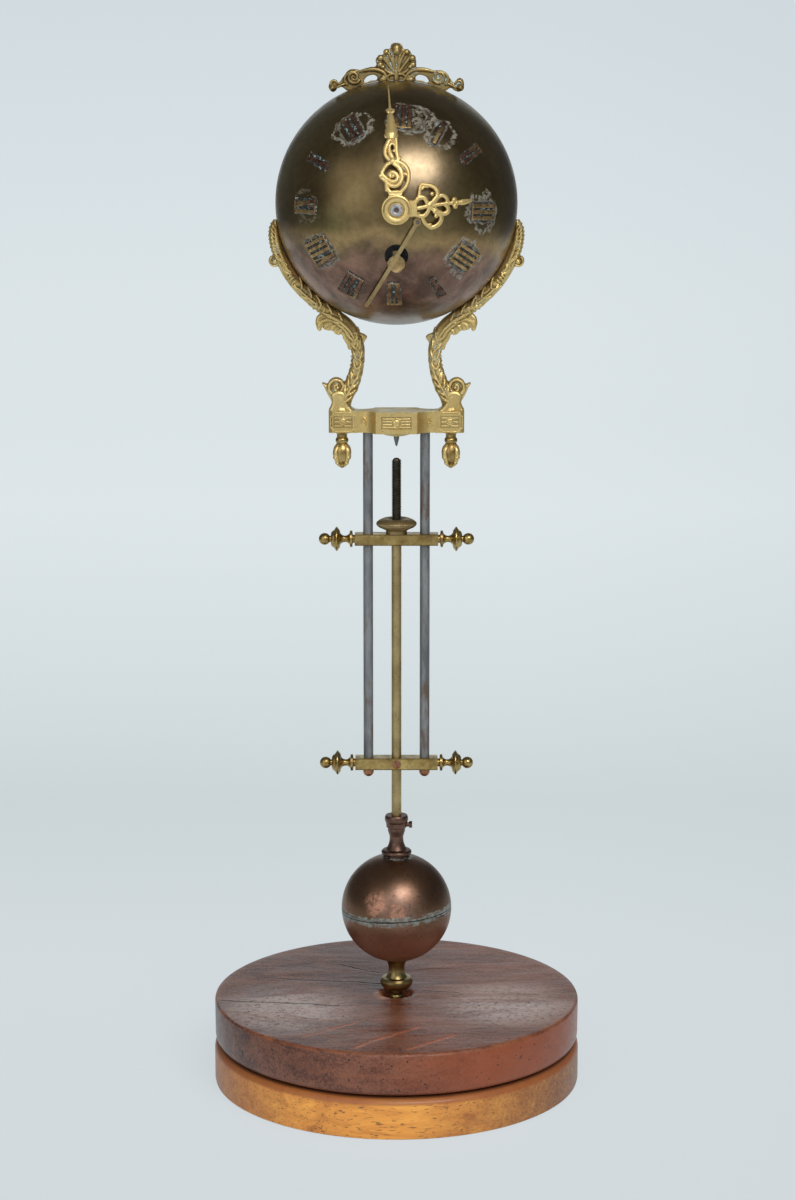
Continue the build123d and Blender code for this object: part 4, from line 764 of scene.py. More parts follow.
def between(table, value):
    """Read a table of (place, amount) rows between its rows."""
    for (low, first), (high, second) in zip(table, table[1:]):
        if value <= high:
            return first + (second - first) * max(0.0, value - low) / (high - low)
    return table[-1][1]


def arm_place(x, z):
    """Distance from the arm's middle line and the arm's width at the nearest point."""
    best = (1e9, 1.0)
    for (x0, z0, w0), (x1, z1, w1) in zip(ARM_LINE, ARM_LINE[1:]):
        length = (x1 - x0) ** 2 + (z1 - z0) ** 2
        share = max(0.0, min(1.0, ((x - x0) * (x1 - x0) + (z - z0) * (z1 - z0)) / length))
        away = math.hypot(x - x0 - share * (x1 - x0), z - z0 - share * (z1 - z0))
        best = min(best, (away, w0 + (w1 - w0) * share))
    return best


def laid_on_arm(parts):
    """Lay strands on the arm's rounded front, with their twins on its back."""
    both = []
    for obj in parts:
        for vertex in obj.data.vertices:
            x, z = vertex.co.x / MM, vertex.co.z / MM
            away, width = arm_place(x, z)
            bulge = math.sqrt(max(0.18, 1 - (2 * away / width) ** 2))
            vertex.co.y -= between(ARM_DEPTH, z - BRACKET_TOP) * bulge * 0.95 * MM
        both += [obj, mirrored(obj, "back_strand", (0, 1, 0))]
    return both


def arm_body():
    body = sweep([row[:2] for row in ARM_LINE], [row[2] for row in ARM_LINE], sides=5)
    for vertex in body.data.vertices:
        z = vertex.co.z / MM
        vertex.co.y *= between(ARM_DEPTH, z - BRACKET_TOP) / between(ARM_HALF, z)
    return body


def sweeps(*rows):
    """Sweeps from rows of points, widths and, if need be, sweep's further values."""
    return [sweep(*row) for row in rows]


def arm_relief():
    """Strands, buds and leaves on the face of the arm, from its tip to its foot."""
    parts = []
    for i in range(9):
        top = 422.4 - 1.86 * i
        x = between(ARM_X, top)
        width = arm_place(x, top)[1]
        lobe = [(x + width * 0.54, top + 0.4), (x + width * 0.34, top - 1.0), (x - 0.3, top - 3.0)]
        parts.append(sweep(lobe, [1.3, 1.8, 0.7], deep=1.7, steps=4))
    parts += sweeps(
        ([(57.2, 423.4), (56.7, 419.4), (56.3, 415.0), (55.4, 411.0), (54.0, 407.0), (52.4, 403.4)],
         [1.2, 1.9, 2.0, 2.0, 1.7, 1.0], 0, 0.7),
        ([(58.6, 406.1), (56.6, 404.9), (55.4, 402.8), (54.4, 400.8)], [1.3, 1.3, 1.2, 0.7]),
        ([(58.0, 410.0), (56.0, 406.8), (54.2, 404.7), (52.8, 403.6)], [0.8, 1.2, 1.2, 0.7]),
        ([(52.2, 403.9), (51.5, 401.2), (49.6, 399.3), (51.2, 398.9), (53.6, 400.6), (53.4, 403.0)],
         [0.7, 0.9, 0.7, 0.8, 0.9, 0.7], 0, 1.0, True),
        ([(52.7, 402.9), (51.8, 401.3), (50.6, 399.9)], [1.0, 1.6, 0.8], 0, 0.8))
    for x, z, reach in ((50.2, 397.9, 1.5), (49.3, 396.7, 1.7), (48.2, 395.3, 1.9)):
        parts.append(sweep([(x + reach * 0.75, z - reach * 0.6), (x, z), (x - reach * 0.75, z + reach * 0.6)],
                           [0.9, 1.3, 0.9], deep=1.5))
    parts.append(sweep([(48.6, 393.6), (44.6, 390.0), (40.6, 386.6), (36.6, 383.6)],
                       [1.0, 1.5, 1.4, 0.8], deep=1.3))
    parts += feathers(0.30, 0.56, 5)
    for x, z in ((38.6, 383.2), (36.6, 382.0), (34.6, 380.9)):
        parts.append(sweep([(x + 1.0, z - 1.5), (x, z + 0.2), (x - 1.2, z + 2.2)], [0.9, 1.3, 0.8], deep=1.2))
    parts += sweeps(
        ([(36.8, 377.3), (33.0, 378.4), (28.8, 377.4), (24.8, 374.6), (21.6, 371.0), (19.6, 366.9)],
         [1.5, 2.2, 2.1, 1.9, 1.5, 0.8]),
        ([(36.6, 374.6), (32.8, 375.6), (28.6, 374.7), (24.7, 372.1), (21.9, 368.4), (20.2, 364.8)],
         [1.2, 1.6, 1.7, 1.5, 1.3, 0.8]),
        ([(34.0, 373.0), (30.6, 373.1), (27.0, 371.6), (24.2, 368.7), (22.3, 365.4)],
         [0.9, 1.4, 1.5, 1.3, 0.8]))
    parts += feathers(0.60, 0.76, 4)
    parts += sweeps(
        ([(19.8, 371.0), (17.4, 370.0), (15.0, 369.2)], [1.2, 1.3, 1.0]),
        ([(14.8, 368.9), (15.8, 366.6), (16.5, 364.0), (16.8, 361.2)], [1.3, 1.2, 1.0, 0.8]),
        ([(18.8, 368.0), (19.9, 366.0), (19.5, 363.8), (18.2, 365.4)], 0.8, 0, 1.0, True),
        ([(22.4, 363.9), (19.6, 363.2), (17.5, 361.5), (16.4, 359.4)], [1.0, 1.1, 1.1, 0.9], 0, 1.2))
    for i in range(5):
        z = 359.6 - 2.1 * i
        x = between(ARM_X, z)
        parts.append(sweep([(x + 3.3, z), (x + 2.1, z - 2.4), (x + 1.5, z - 4.6)],
                           [0.9, 1.1, 0.6], deep=1.2, steps=5))
    foot_line = [(17.4, 360.4), (17.0, 356.0), (18.0, 351.2), (20.6, 346.2), (23.2, 341.6), (24.8, 338.6)]
    parts.append(sweep(foot_line, [0.8, 1.4, 1.4, 1.3, 1.2, 0.6], deep=1.3))
    return parts + feathers(0.78, 0.93, 4)


def feathers(start, end, count):
    """Slanting leaf lobes on both sides of a rib, between two shares of the arm's length."""
    parts = []
    for i in range(count):
        share = start + (end - start) * (i + 0.5) / count
        place = share * (len(ARM_LINE) - 1)
        low = int(place)
        (x0, z0, w0), (x1, z1, w1) = ARM_LINE[low:low + 2]
        x, z, width = (a + (b - a) * (place - low) for a, b in ((x0, x1), (z0, z1), (w0, w1)))
        length = math.hypot(x1 - x0, z1 - z0)
        along_x, along_z = (x1 - x0) / length, (z1 - z0) / length
        for side in (-1, 1):
            points = [(x - along_z * side * width * out + along_x * back,
                       z + along_x * side * width * out + along_z * back)
                      for out, back in ((0.02, 2.4), (0.22, 0.9), (0.40, -1.4), (0.44, -3.2))]
            parts.append(sweep(points, [0.6, 1.7, 1.5, 0.6], deep=1.5, steps=4))
    return parts


def arm_leaves():
    """The parts that stand out from the arm's line: curl, knee leaf, tip leaf and lower volute."""
    parts = [spiral(57.4, 404.4, 2.7, 1.3, 60, 1.6, deep=4.4, hand=-1),
             bead(57.4, 404.4, 2.1, deep=1.6)]
    parts.append(plate([[(37.4, 378.8), (38.4, 376.4), (38.0, 373.4), (37.0, 371.6), (35.8, 371.8),
                         (35.4, 373.2), (34.0, 372.4), (32.0, 371.6), (30.6, 372.0), (29.6, 370.6),
                         (27.4, 369.6), (26.4, 370.0), (25.2, 367.6), (23.4, 364.6), (22.6, 362.6),
                         (19.0, 366.0), (21.6, 374.0), (27.0, 379.0), (32.0, 380.8)]], 6.2, edge=1.0))
    parts.append(bead(36.0, 375.6, 2.4, deep=1.5))
    for y in (-3.0, 3.0):
        parts.append(sweep([(37.2, 374.2), (34.4, 376.6), (30.4, 376.6), (26.4, 374.0), (23.4, 370.2)],
                           [1.4, 1.8, 1.7, 1.4, 0.8], y, 0.8))
        for x, z in ((33.8, 373.2), (30.4, 372.6), (27.2, 370.6)):
            parts.append(sweep([(x + 0.6, z - 0.8), (x - 0.6, z + 1.2), (x - 2.8, z + 2.2)],
                               [1.3, 1.4, 0.7], y, 0.8))
    parts.append(plate([[(19.6, 371.6), (16.6, 369.7), (14.6, 369.4), (14.0, 368.6), (15.2, 366.4),
                         (16.0, 363.4), (16.8, 360.0), (20.0, 362.0)]], 4.6, edge=0.9))
    parts.append(plate([[(23.0, 349.6), (24.2, 347.6), (26.4, 347.6), (30.2, 348.2), (31.8, 347.2),
                         (33.4, 346.3), (35.2, 346.7), (34.3, 344.4), (33.2, 341.8), (31.8, 339.3),
                         (30.4, 337.4), (26.0, 337.6), (22.0, 343.0)]], 5.6, edge=1.1))
    volute = [(22.6, 351.0), (22.6, 346.4), (24.0, 342.2), (27.4, 340.4), (30.8, 341.8), (32.2, 345.0),
              (30.6, 347.8), (27.8, 348.2), (25.6, 346.2), (25.8, 343.8), (27.6, 342.8), (29.4, 343.8),
              (29.3, 345.6), (27.9, 346.0)]
    parts.append(plate([[(28.1 + 4.1 * math.cos(a * math.pi / 6), 344.4 + 4.0 * math.sin(a * math.pi / 6))
                         for a in range(12)]], 5.6, edge=0.8))
    for y in (-2.9, 2.9):
        parts.append(sweep(volute, [1.2, 1.8, 1.6, 1.4, 1.0], y, 1.3))
        parts.append(bead(28.0, 344.6, 0.8, y, 1.5))
        parts.append(sweep([(31.4, 344.6), (33.2, 345.0), (35.4, 346.7)], [1.4, 1.4, 0.8], y * 0.5))
    parts.append(plate([[(20.0, 333.7), (21.6, 334.9), (23.0, 336.7), (23.9, 339.0), (24.0, 342.0),
                         (30.8, 342.0), (30.9, 339.2), (31.0, 337.0), (31.7, 335.0), (32.3, 333.7)]], 9.6,
                       edge=1.3))
    return parts


def clear_of_ball(obj, gap=0.05):
    """Push out whatever lies inside the ball, so that it only touches it."""
    centre = Vector((0, 0, BALL_Z)) * MM
    reach = (BALL_R + gap) * MM
    for vertex in obj.data.vertices:
        offset = vertex.co - centre
        if offset.length < reach:
            vertex.co = centre + offset.normalized() * reach


def build_arms():
    relief = laid_on_arm(arm_relief())
    right = cast("right_scroll_arm", [arm_body()] + relief + arm_leaves(), 0.24, 1)
    mark_relief(right)
    for vertex in right.data.vertices:
        vertex.co.z = max(vertex.co.z, BRACKET_TOP * MM)
    clear_of_ball(right)
    left = mirrored(right, "left_scroll_arm")
    finish(left, "swing_frame", "cast_brass", "left_arm")
    finish(right, "swing_frame", "cast_brass", "right_arm")


# Crown with its shell fan

CROWN_EDGE = ((-29.7, 487.9), (-31.7, 486.6), (-31.3, 484.6), (-29.7, 483.4), (-28.0, 484.6), (-27.4, 485.9),
              (-25.4, 485.6), (-22.8, 484.0), (-16.0, 486.6), (-8.0, 488.4), (0, 488.9), (8.0, 488.4),
              (16.0, 486.6), (22.8, 484.0), (25.4, 485.2), (27.6, 483.9), (29.8, 483.6), (31.2, 485.0),
              (31.6, 487.6), (30.3, 489.8), (28.5, 489.4), (27.4, 487.6), (25.0, 489.8), (22.2, 492.9),
              (18.7, 493.4), (16.0, 492.9), (10.9, 494.6), (9.0, 495.2), (9.3, 497.6), (7.4, 500.4),
              (5.6, 502.9), (3.4, 503.2), (2.4, 505.2), (0, 506.0), (-2.2, 505.4), (-3.2, 503.3),
              (-5.2, 503.1), (-6.2, 500.8), (-8.2, 500.2), (-9.7, 498.2), (-9.5, 495.6), (-12.7, 494.8),
              (-16.4, 493.3), (-18.3, 493.8), (-22.0, 493.6), (-24.8, 490.5), (-27.4, 487.6))
CROWN_WINDOW = ((9.0, 489.4), (9.6, 490.9), (12.6, 491.0), (14.6, 489.6), (15.0, 488.0), (12.0, 488.6))

# The right half of a face's relief in two runs: strands with their points, their widths and how far
# out they stand, and beads with their place, radius, how far out they stand and how deep they are
CROWN_SIDE = (
    (((27.4, 487.2), (29.0, 488.6), (30.6, 487.8), (31.0, 486.0)), (1.0, 1.4, 1.3, 0.9), 1.0),
    (((23.6, 487.4), (25.6, 486.6), (27.8, 485.4)), (1.0, 1.6, 0.9), 1.0),
    (((0, 491.6), (2.9, 491.4), (4.6, 490.1)), (1.2, 1.3, 0.9), 1.1),
    (((7.4, 496.3), (4.6, 493.0), (0.4, 491.2)), (2.0, 1.6, 0.8), 1.1),
    (((6.4, 499.6), (3.0, 495.0), (0.4, 491.2)), (1.5, 1.2, 0.8), 1.1),
    (((3.6, 501.4), (1.6, 496.4), (0.4, 491.2)), (1.3, 1.04, 0.8), 1.1),
    (4.8, 501.8, 1.4, 0.9, 1.0), (7.4, 498.9, 1.7, 0.9, 1.0), (7.7, 495.9, 1.7, 0.9, 1.0),
    (6.3, 494.9, 1.1, 1.4, 1.0))
CROWN_SCROLL = (
    (((17.4, 492.8), (12.8, 493.7), (8.6, 493.5), (5.4, 491.7), (3.6, 488.6)),
     (1.2, 2.0, 2.0, 1.6, 1.2), 1.0),
    (((23.0, 486.6), (24.2, 489.6), (22.2, 492.2), (19.0, 493.0)), (1.3, 1.4, 1.3, 0.9), 1.0),
    (6.5, 488.9, 2.0, 1.0, 0.8))


def crown_relief(face):
    """Scrolls, ribs and lobes on one face of the crown, face being -1 for the front."""
    y = 1.5 * face
    parts = []

    def add(rows, side):
        for row in rows:
            if len(row) == 3:
                points, widths, out = row
                parts.append(sweep([(side * x, z) for x, z in points], widths, y * out))
            else:
                x, z, radius, out, deep = row
                parts.append(bead(side * x, z, radius, y * out, deep))

    for side in (-1, 1):
        parts.append(spiral(side * 19.9, 490.2, 3.0, 1.6, 200 if side > 0 else -20, 1.7, y, 1.1, side))
        add(CROWN_SCROLL, side)
        parts.append(spiral(side * 6.5, 488.9, 1.9, 1.0, 90, 0.8, y * 1.5, 1.0, side))
        add(((29.9, 485.5, 1.8, 0.9, 0.9), (29.9, 485.4, 0.9, 1.9, 1.0)) + CROWN_SIDE, side)
    add(((0, 503.4, 2.3, 0.8, 0.9), (0, 502.0, 1.7, 1.7, 0.7)), 1)
    for side in (-1, 1):
        add(((((1.5, 500.4), (1.2, 497.6), (0, 493.2)), (1.0, 1.0, 0.8), 1.1),), side)
    add(((((0, 493.0), (0, 490.0), (0, 487.9)), (2.4, 2.6, 2.2), 1.0),), 1)
    return parts


def build_crown():
    left_window = [(-x, z) for x, z in CROWN_WINDOW]
    slab = plate([CROWN_EDGE, CROWN_WINDOW, left_window], 3.0, edge=0.5)
    crown = cast("shell_crown", [slab] + crown_relief(-1) + crown_relief(1), 0.2, 1)
    mark_relief(crown, 30, 0.14)
    clear_of_ball(crown, 0.02)
    finish(crown, "swing_frame", "cast_brass", "crown", paint=crown_brass)


# Laying flat work on the ball

HAND_REACH = 54  # Distance from the hub where a hand's growth counts in full


def draped(obj, lift, grow=0.0):
    """Bend a flat piece drawn about the hub round the ball, its back lift millimetres off the ball."""
    for vertex in obj.data.vertices:
        x, z, height = vertex.co.x / MM, vertex.co.z / MM, -vertex.co.y / MM
        r = math.hypot(x, z)
        stretch = 1 + grow * (r / HAND_REACH) ** 2
        reach = BALL_R + lift + height
        y = -math.sqrt(max(1.0, reach ** 2 - (r * stretch) ** 2))
        vertex.co = Vector((x * stretch, y, z * stretch + BALL_Z)) * MM
    return obj


def stroke(points, widths):
    """Half-round strand of a pierced hand, standing on the flat."""
    return sweep(points, widths, -0.35, 0.75, steps=6)


HAND_FULLNESS = 1.34
MINUTE_STRANDS = (
    (((-3.7, 7.8), (-0.5, 8.0), (2.7, 7.9)), (1.3,)), (((-3.3, 6.6), (-0.5, 6.7), (2.4, 6.7)), (1.6,)),
    (((-3.8, 5.4), (-0.5, 5.4), (2.8, 5.5)), (1.4,)),
    (((2.2, 8.2), (4.7, 11.2), (5.5, 14.4), (5.1, 17.7), (3.2, 20.2), (0.7, 21.4), (-2.0, 21.8)),
     (1.3, 1.5, 1.5)),
    (((-1.6, 21.6), (-4.6, 19.8), (-6.3, 16.9), (-7.2, 14.4)), (1.5, 1.5, 1.3)),
    (((-1.3, 20.8), (1.1, 18.9), (2.4, 16.1), (2.1, 12.9), (-0.1, 10.8), (-2.8, 11.0), (-4.4, 12.4),
      (-7.0, 14.6)),
     (1.7, 1.6, 1.2)),
    (((-3.0, 8.0), (-4.4, 10.2), (-4.3, 12.2)), (1.4, 1.6)),
    (((2.4, 15.2), (3.4, 16.1), (4.9, 15.5)), (1.0,)),
    (((-6.8, 16.2), (-4.6, 14.0), (-2.4, 12.8), (-0.1, 13.2), (0.5, 14.7), (-0.7, 16.5), (-2.4, 16.7),
      (-3.0, 15.5), (-2.0, 14.5)), (1.5, 1.4, 1.1)),
    (((-2.0, 21.6), (-4.4, 23.4), (-5.2, 25.9), (-4.4, 28.7), (-3.0, 31.0), (-1.3, 31.6)), (1.4, 1.3, 1.3)),
    (((-0.9, 21.2), (-2.0, 23.4), (-3.2, 26.3), (-3.0, 28.7), (-1.5, 29.3), (-0.4, 27.5), (-1.3, 25.7)),
     (1.8, 1.3, 1.1)),
    (((0.4, 21.6), (0.6, 23.2), (0.1, 25.6), (-0.1, 28.7), (-0.3, 31.4)), (1.6, 1.3)),
    (((-3.9, 29.3), (-2.6, 29.3), (-0.9, 30.3)), (1.0,)),
    (((-2.2, 31.5), (-2.3, 34.0), (-2.4, 37.0), (-2.6, 40.0), (-2.7, 42.6)), (3.6, 4.4, 3.0, 2.4, 1.3)),
    (((-2.7, 42.4), (-3.0, 45.4), (-3.3, 49.4), (-3.7, 53.7)), (1.0, 0.62, 0.5)))
MINUTE_BEADS = ((-4.5, 32.4, 1.0), (-0.2, 32.5, 1.0), (-4.2, 34.6, 0.9), (-0.4, 34.6, 1.0),
                (-4.0, 36.7, 0.9), (-0.9, 36.8, 0.9), (-3.7, 38.7, 0.8), (-1.4, 38.8, 0.8),
                (-3.5, 40.5, 0.7), (-1.8, 40.5, 0.7), (-3.7, 43.0, 0.9), (-1.6, 43.0, 0.9),
                (-2.7, 42.4, 0.8), (1.3, 23.0, 0.9), (-7.2, 15.2, 0.9), (-6.6, 17.0, 0.8), (-4.4, 8.9, 0.8),
                (-1.6, 15.1, 0.8), (-1.9, 21.9, 1.3), (-2.4, 33.4, 1.4), (-2.5, 36.0, 1.1))
HOUR_STRANDS = (
    (((5.9, 0.4), (7.4, 0.5), (9.2, 0.6)), (6.0, 5.6)),
    (((9.0, 3.6), (10.1, 5.5), (10.5, 7.5), (10.8, 9.8), (11.5, 11.7)), (1.7, 1.3, 1.2)),
    (((11.4, 11.4), (14.0, 11.0), (16.6, 10.2), (18.4, 8.4), (18.6, 6.1), (17.2, 4.4), (15.2, 2.1)),
     (1.2, 1.7, 1.5)),
    (((11.4, 9.2), (12.7, 10.2), (14.4, 9.9)), (1.0, 0.8)),
    (((9.0, 4.4), (11.1, 5.6), (12.8, 5.0), (13.7, 3.5), (14.7, 1.8)), (1.7, 1.5)),
    (((9.2, 0.6), (12.6, 1.2), (14.9, 1.8), (18.6, 2.1), (21.8, 2.5), (25.0, 2.8)), (1.4, 1.3)),
    (((9.4, -1.6), (10.2, -2.6), (12.0, -2.9), (13.7, -1.7), (15.1, 0.8)), (1.7, 1.4)),
    (((11.6, -2.9), (12.5, -5.3), (14.3, -7.3), (16.0, -8.0), (18.6, -7.1), (20.2, -5.1), (20.3, -3.1),
      (18.6, -1.5), (15.6, 0.9)), (1.4, 1.6, 1.4)),
    (((15.4, -6.2), (15.2, -7.8), (16.0, -9.0)), (1.2, 1.6, 0.8)),
    (((15.4, 1.9), (17.7, 4.1), (19.4, 5.9), (21.2, 6.2), (22.8, 4.9), (23.3, 2.9)), (1.5, 1.3)),
    (((21.8, 2.3), (23.3, 0.9), (23.4, -0.9), (21.5, -2.0), (19.5, -1.3), (17.0, 0.5)), (1.4, 1.7, 1.5)),
    (((15.6, 3.4), (15.0, 1.8), (14.8, 0.2)), (1.3, 2.0, 1.3)),
    (((24.8, 2.8), (28.1, 2.9), (30.1, 3.0), (32.4, 3.4), (34.4, 3.8)), (1.4, 1.6, 2.2, 1.6, 0.7)))
HOUR_BEADS = ((6.8, 3.0, 1.1), (8.6, 3.5, 1.1), (6.9, -2.2, 1.1), (9.0, -2.2, 1.2), (7.8, 0.5, 1.5),
              (26.3, 4.2, 1.1), (26.7, 1.3, 1.1), (27.6, 2.8, 1.0), (25.4, 2.8, 1.0), (16.2, 7.0, 0.9),
              (18.0, -3.0, 0.9), (11.0, 5.2, 0.9), (18.6, -7.3, 0.8), (17.4, -0.9, 1.0))


def pierced_hand(name, strands, beads, lift, grow, tallest, hub):
    parts = []
    for points, widths in strands:
        widths = list(widths) * 2 if len(widths) == 1 else widths
        parts.append(stroke(points, [width * HAND_FULLNESS for width in widths]))
    parts += [bead(x, z, r * 1.15, -0.4, 0.8, segments=12) for x, z, r in beads]
    hand = cast(name, parts, 0.17, 1)
    mark_relief(hand, 20, 0.12)
    for vertex in hand.data.vertices:
        vertex.co.y = max(min(vertex.co.y, 0.0), -tallest * MM)
    draped(hand, lift, grow)
    disc = lathe(name + "_hub", hub, 96, (0, 0, BALL_Z), True)
    smooth(disc, 35)
    return join(name, [disc, hand])


HOUR_HUB = ((3.3, 59.0), (6.95, 59.0), (6.95, 60.1), (6.7, 60.5), (3.3, 60.5))
MINUTE_HUB = ((1.4, 61.0), (6.7, 61.0), (6.8, 61.6), (6.6, 62.1), (6.1, 62.3), (5.8, 63.0), (5.2, 63.5),
              (4.3, 63.5), (3.6, 63.1), (3.2, 62.5), (1.4, 62.4))
SCREW_HEAD = ((0.2, 62.35), (2.8, 62.35), (2.8, 63.5), (2.5, 63.8), (1.9, 63.85), (1.5, 63.6), (0.9, 63.3),
              (0.2, 63.2))


def build_hands():
    hour = pierced_hand("pierced_hour_hand", HOUR_STRANDS, HOUR_BEADS, 2.35, 0.005, 1.45, HOUR_HUB)
    finish(hour, "hands_hour", "hand_brass", "hour_hand")
    minute = pierced_hand("pierced_minute_hand", MINUTE_STRANDS, MINUTE_BEADS, 4.15, 0.026, 3.0, MINUTE_HUB)
    finish(minute, "hands_minute", "hand_brass", "minute_hand")
    screw = lathe("hub_screw", SCREW_HEAD, 48, (0, 0, BALL_Z), True)
    smooth(screw, 35)
    finish(screw, "hands_minute", "steel", "hand_screw", paint=screw_paint())


# Raised numerals and the crusts round some of them

# Numeral, angle clockwise from twelve, distance from the hub seen from the front, and where there is
# old solder: how far it lies to the right and how much wider and higher than the numeral it runs
NUMERALS = (("XII", 3.0, 41.1, (3.2, 3.6, 1.0)), ("I", 30.0, 39.0, (-0.6, 1.6, 0.8)),
            ("II", 54.5, 41.5, None), ("III", 92.8, 39.6, (0.0, 1.4, 1.0)),
            ("IIII", 126.0, 38.6, (0.0, 1.0, 0.8)), ("V", 152.7, 41.1, None), ("VI", 181.2, 39.4, None),
            ("VII", 209.8, 41.3, None), ("VIII", 240.4, 40.3, (0.0, 0.7, 0.6)), ("IX", 270.8, 41.9, None),
            ("X", 300.1, 41.6, None), ("XI", 331.2, 41.3, (-1.2, 2.0, 1.4)))
LETTER_WIDTH = {"I": 2.7, "V": 4.7, "X": 4.8}
NUMERAL_HALF = 7.2


def bar(x0, z0, x1, z1, width, high, low=-0.4):
    """Straight bar with upright ends between two points, from low to high off the ball."""
    half = width / 2
    return flat([(x0 - half, z0), (x0 + half, z0), (x1 + half, z1), (x1 - half, z1)],
                high - low, -(high + low) / 2)


def numeral(text, angle, distance, solder):
    total = sum(LETTER_WIDTH[c] for c in text) - 0.9
    left = -total / 2
    half = NUMERAL_HALF
    parts = []
    for letter in text:
        middle = left + (LETTER_WIDTH[letter] - 0.9) / 2
        if letter == "I":
            parts.append(bar(middle, half, middle, -half, 1.7, 1.05))
        elif letter == "V":
            parts.append(bar(middle - 1.3, half, middle + 0.3, -half, 1.7, 1.05))
            parts.append(bar(middle + 1.6, half, middle + 0.3, -half, 0.8, 1.0))
        else:
            parts.append(bar(middle - 1.4, half, middle + 1.4, -half, 1.8, 1.05))
            parts.append(bar(middle + 1.5, half, middle - 1.5, -half, 0.8, 1.0))
        left += LETTER_WIDTH[letter]
    # A V at the side comes to a point towards the hub, so the strip and the ground are narrower there
    inner_left = -total / 2 + (1.35 if text[0] == "V" else 0)
    inner_right = 1.15 if text == "V" else total / 2
    for x0, x1, z in ((-total / 2, total / 2, half - 0.4), (inner_left, inner_right, -half + 0.4)):
        strip = [(x0 - 0.3, z - 0.45), (x1 + 0.3, z - 0.45), (x1 + 0.3, z + 0.45), (x0 - 0.3, z + 0.45)]
        parts.append(flat(strip, 1.35, -0.27))
    wide = total / 2 + 0.5
    parts.append(flat([(inner_left - 0.5, -half - 0.3), (inner_right + 0.5, -half - 0.3), (wide, half + 0.3),
                       (-wide, half + 0.3)], 0.75, 0.02))
    shape = cast("numeral", parts, 0.2, 1)
    wander = random.Random(len(text) * 31 + int(angle))
    pieces = [on_numeral_place(shape, angle, distance)]
    if solder:
        shift, wider, higher = solder
        ring = crust(shift, total / 2 + wider, half + higher, wander)
        pieces.append(on_numeral_place(ring, angle, distance))
    return pieces


def crust(shift, wide, high, wander):
    """Uneven ring of old solder round a numeral."""
    points = []
    count = 26
    for i in range(count):
        turn = 2 * math.pi * i / count
        square = max(abs(math.cos(turn)), abs(math.sin(turn))) ** 0.6
        reach = 1 / square + wander.uniform(-0.09, 0.09)
        points.append((shift + wide * reach * math.cos(turn), high * reach * math.sin(turn)))
    widths = [wander.uniform(0.4, 2.4) for _ in points]
    ring = sweep(points, widths, -0.02, 0.3, closed=True, sides=2, steps=4)
    return outward(ring)


def on_numeral_place(obj, angle, distance):
    """Bend a flat piece, its up pointing away from the hub, onto the ball."""
    turn = math.radians(angle)
    polar = math.asin(distance / BALL_R)
    middle = Vector((math.sin(polar) * math.sin(turn), -math.cos(polar), math.sin(polar) * math.cos(turn)))
    across = Vector((math.cos(turn), 0, -math.sin(turn)))
    away = Vector((math.cos(polar) * math.sin(turn), math.sin(polar), math.cos(polar) * math.cos(turn)))
    centre = Vector((0, 0, BALL_Z))
    for vertex in obj.data.vertices:
        x, z, height = vertex.co.x / MM, vertex.co.z / MM, -vertex.co.y / MM
        out = (middle * BALL_R + across * x + away * z).normalized()
        vertex.co = (centre + out * (BALL_R + height)) * MM
    return obj


def build_numerals():
    letters, crusts = [], []
    for row in NUMERALS:
        pieces = numeral(*row)
        letters.append(pieces[0])
        crusts += pieces[1:]
    figures = join("raised_numerals", letters)
    finish(figures, "swing_frame", "hand_brass", paint=numeral_paint())
    rings = shade_smooth(join("solder_crusts", crusts))
    finish(rings, "swing_frame", "case_bronze", paint=crust_paint())


# Regulating nut and thread

# Points round the nut's rim, and the share of the radius that every second one keeps
KNURLS = 144
KNURL_FOOT = 0.975
# The thread's pitch and turns, and the heights where the rod and its thread begin
PITCH = 0.8
THREAD_TURNS = 50
ROD_FOOT = 47.6
THREAD_FOOT = 268.4


def build_nut():
    profile = ((2.25, 0), (5.1, 0), (5.1, 1.5), (6.2, 2.1), (8.6, 3.2), (9.6, 4.1), (9.8, 4.8), (9.5, 5.5),
               (8.2, 6.5), (6.4, 7.3), (4.8, 7.2), (3.4, 6.5), (2.25, 6.4))
    nut = lathe("knurled_nut", [(r, UPPER_BAR_TOP + h) for r, h in profile], KNURLS)
    for vertex in nut.data.vertices:
        x, y = vertex.co.x, vertex.co.y
        if math.hypot(x, y) > 8.0 * MM and round(math.atan2(y, x) / (2 * math.pi) * KNURLS) % 2:
            vertex.co.x *= KNURL_FOOT
            vertex.co.y *= KNURL_FOOT
    smooth(nut, 50)
    finish(nut, "regulating_nut", "turned_brass", "regulating_nut",
           paint=worn_brass_with_painted_light("nut_brass", (0.42, 0.32, 0.155), (0.23, 0.16, 0.07), 0.42, 0.6, 700))


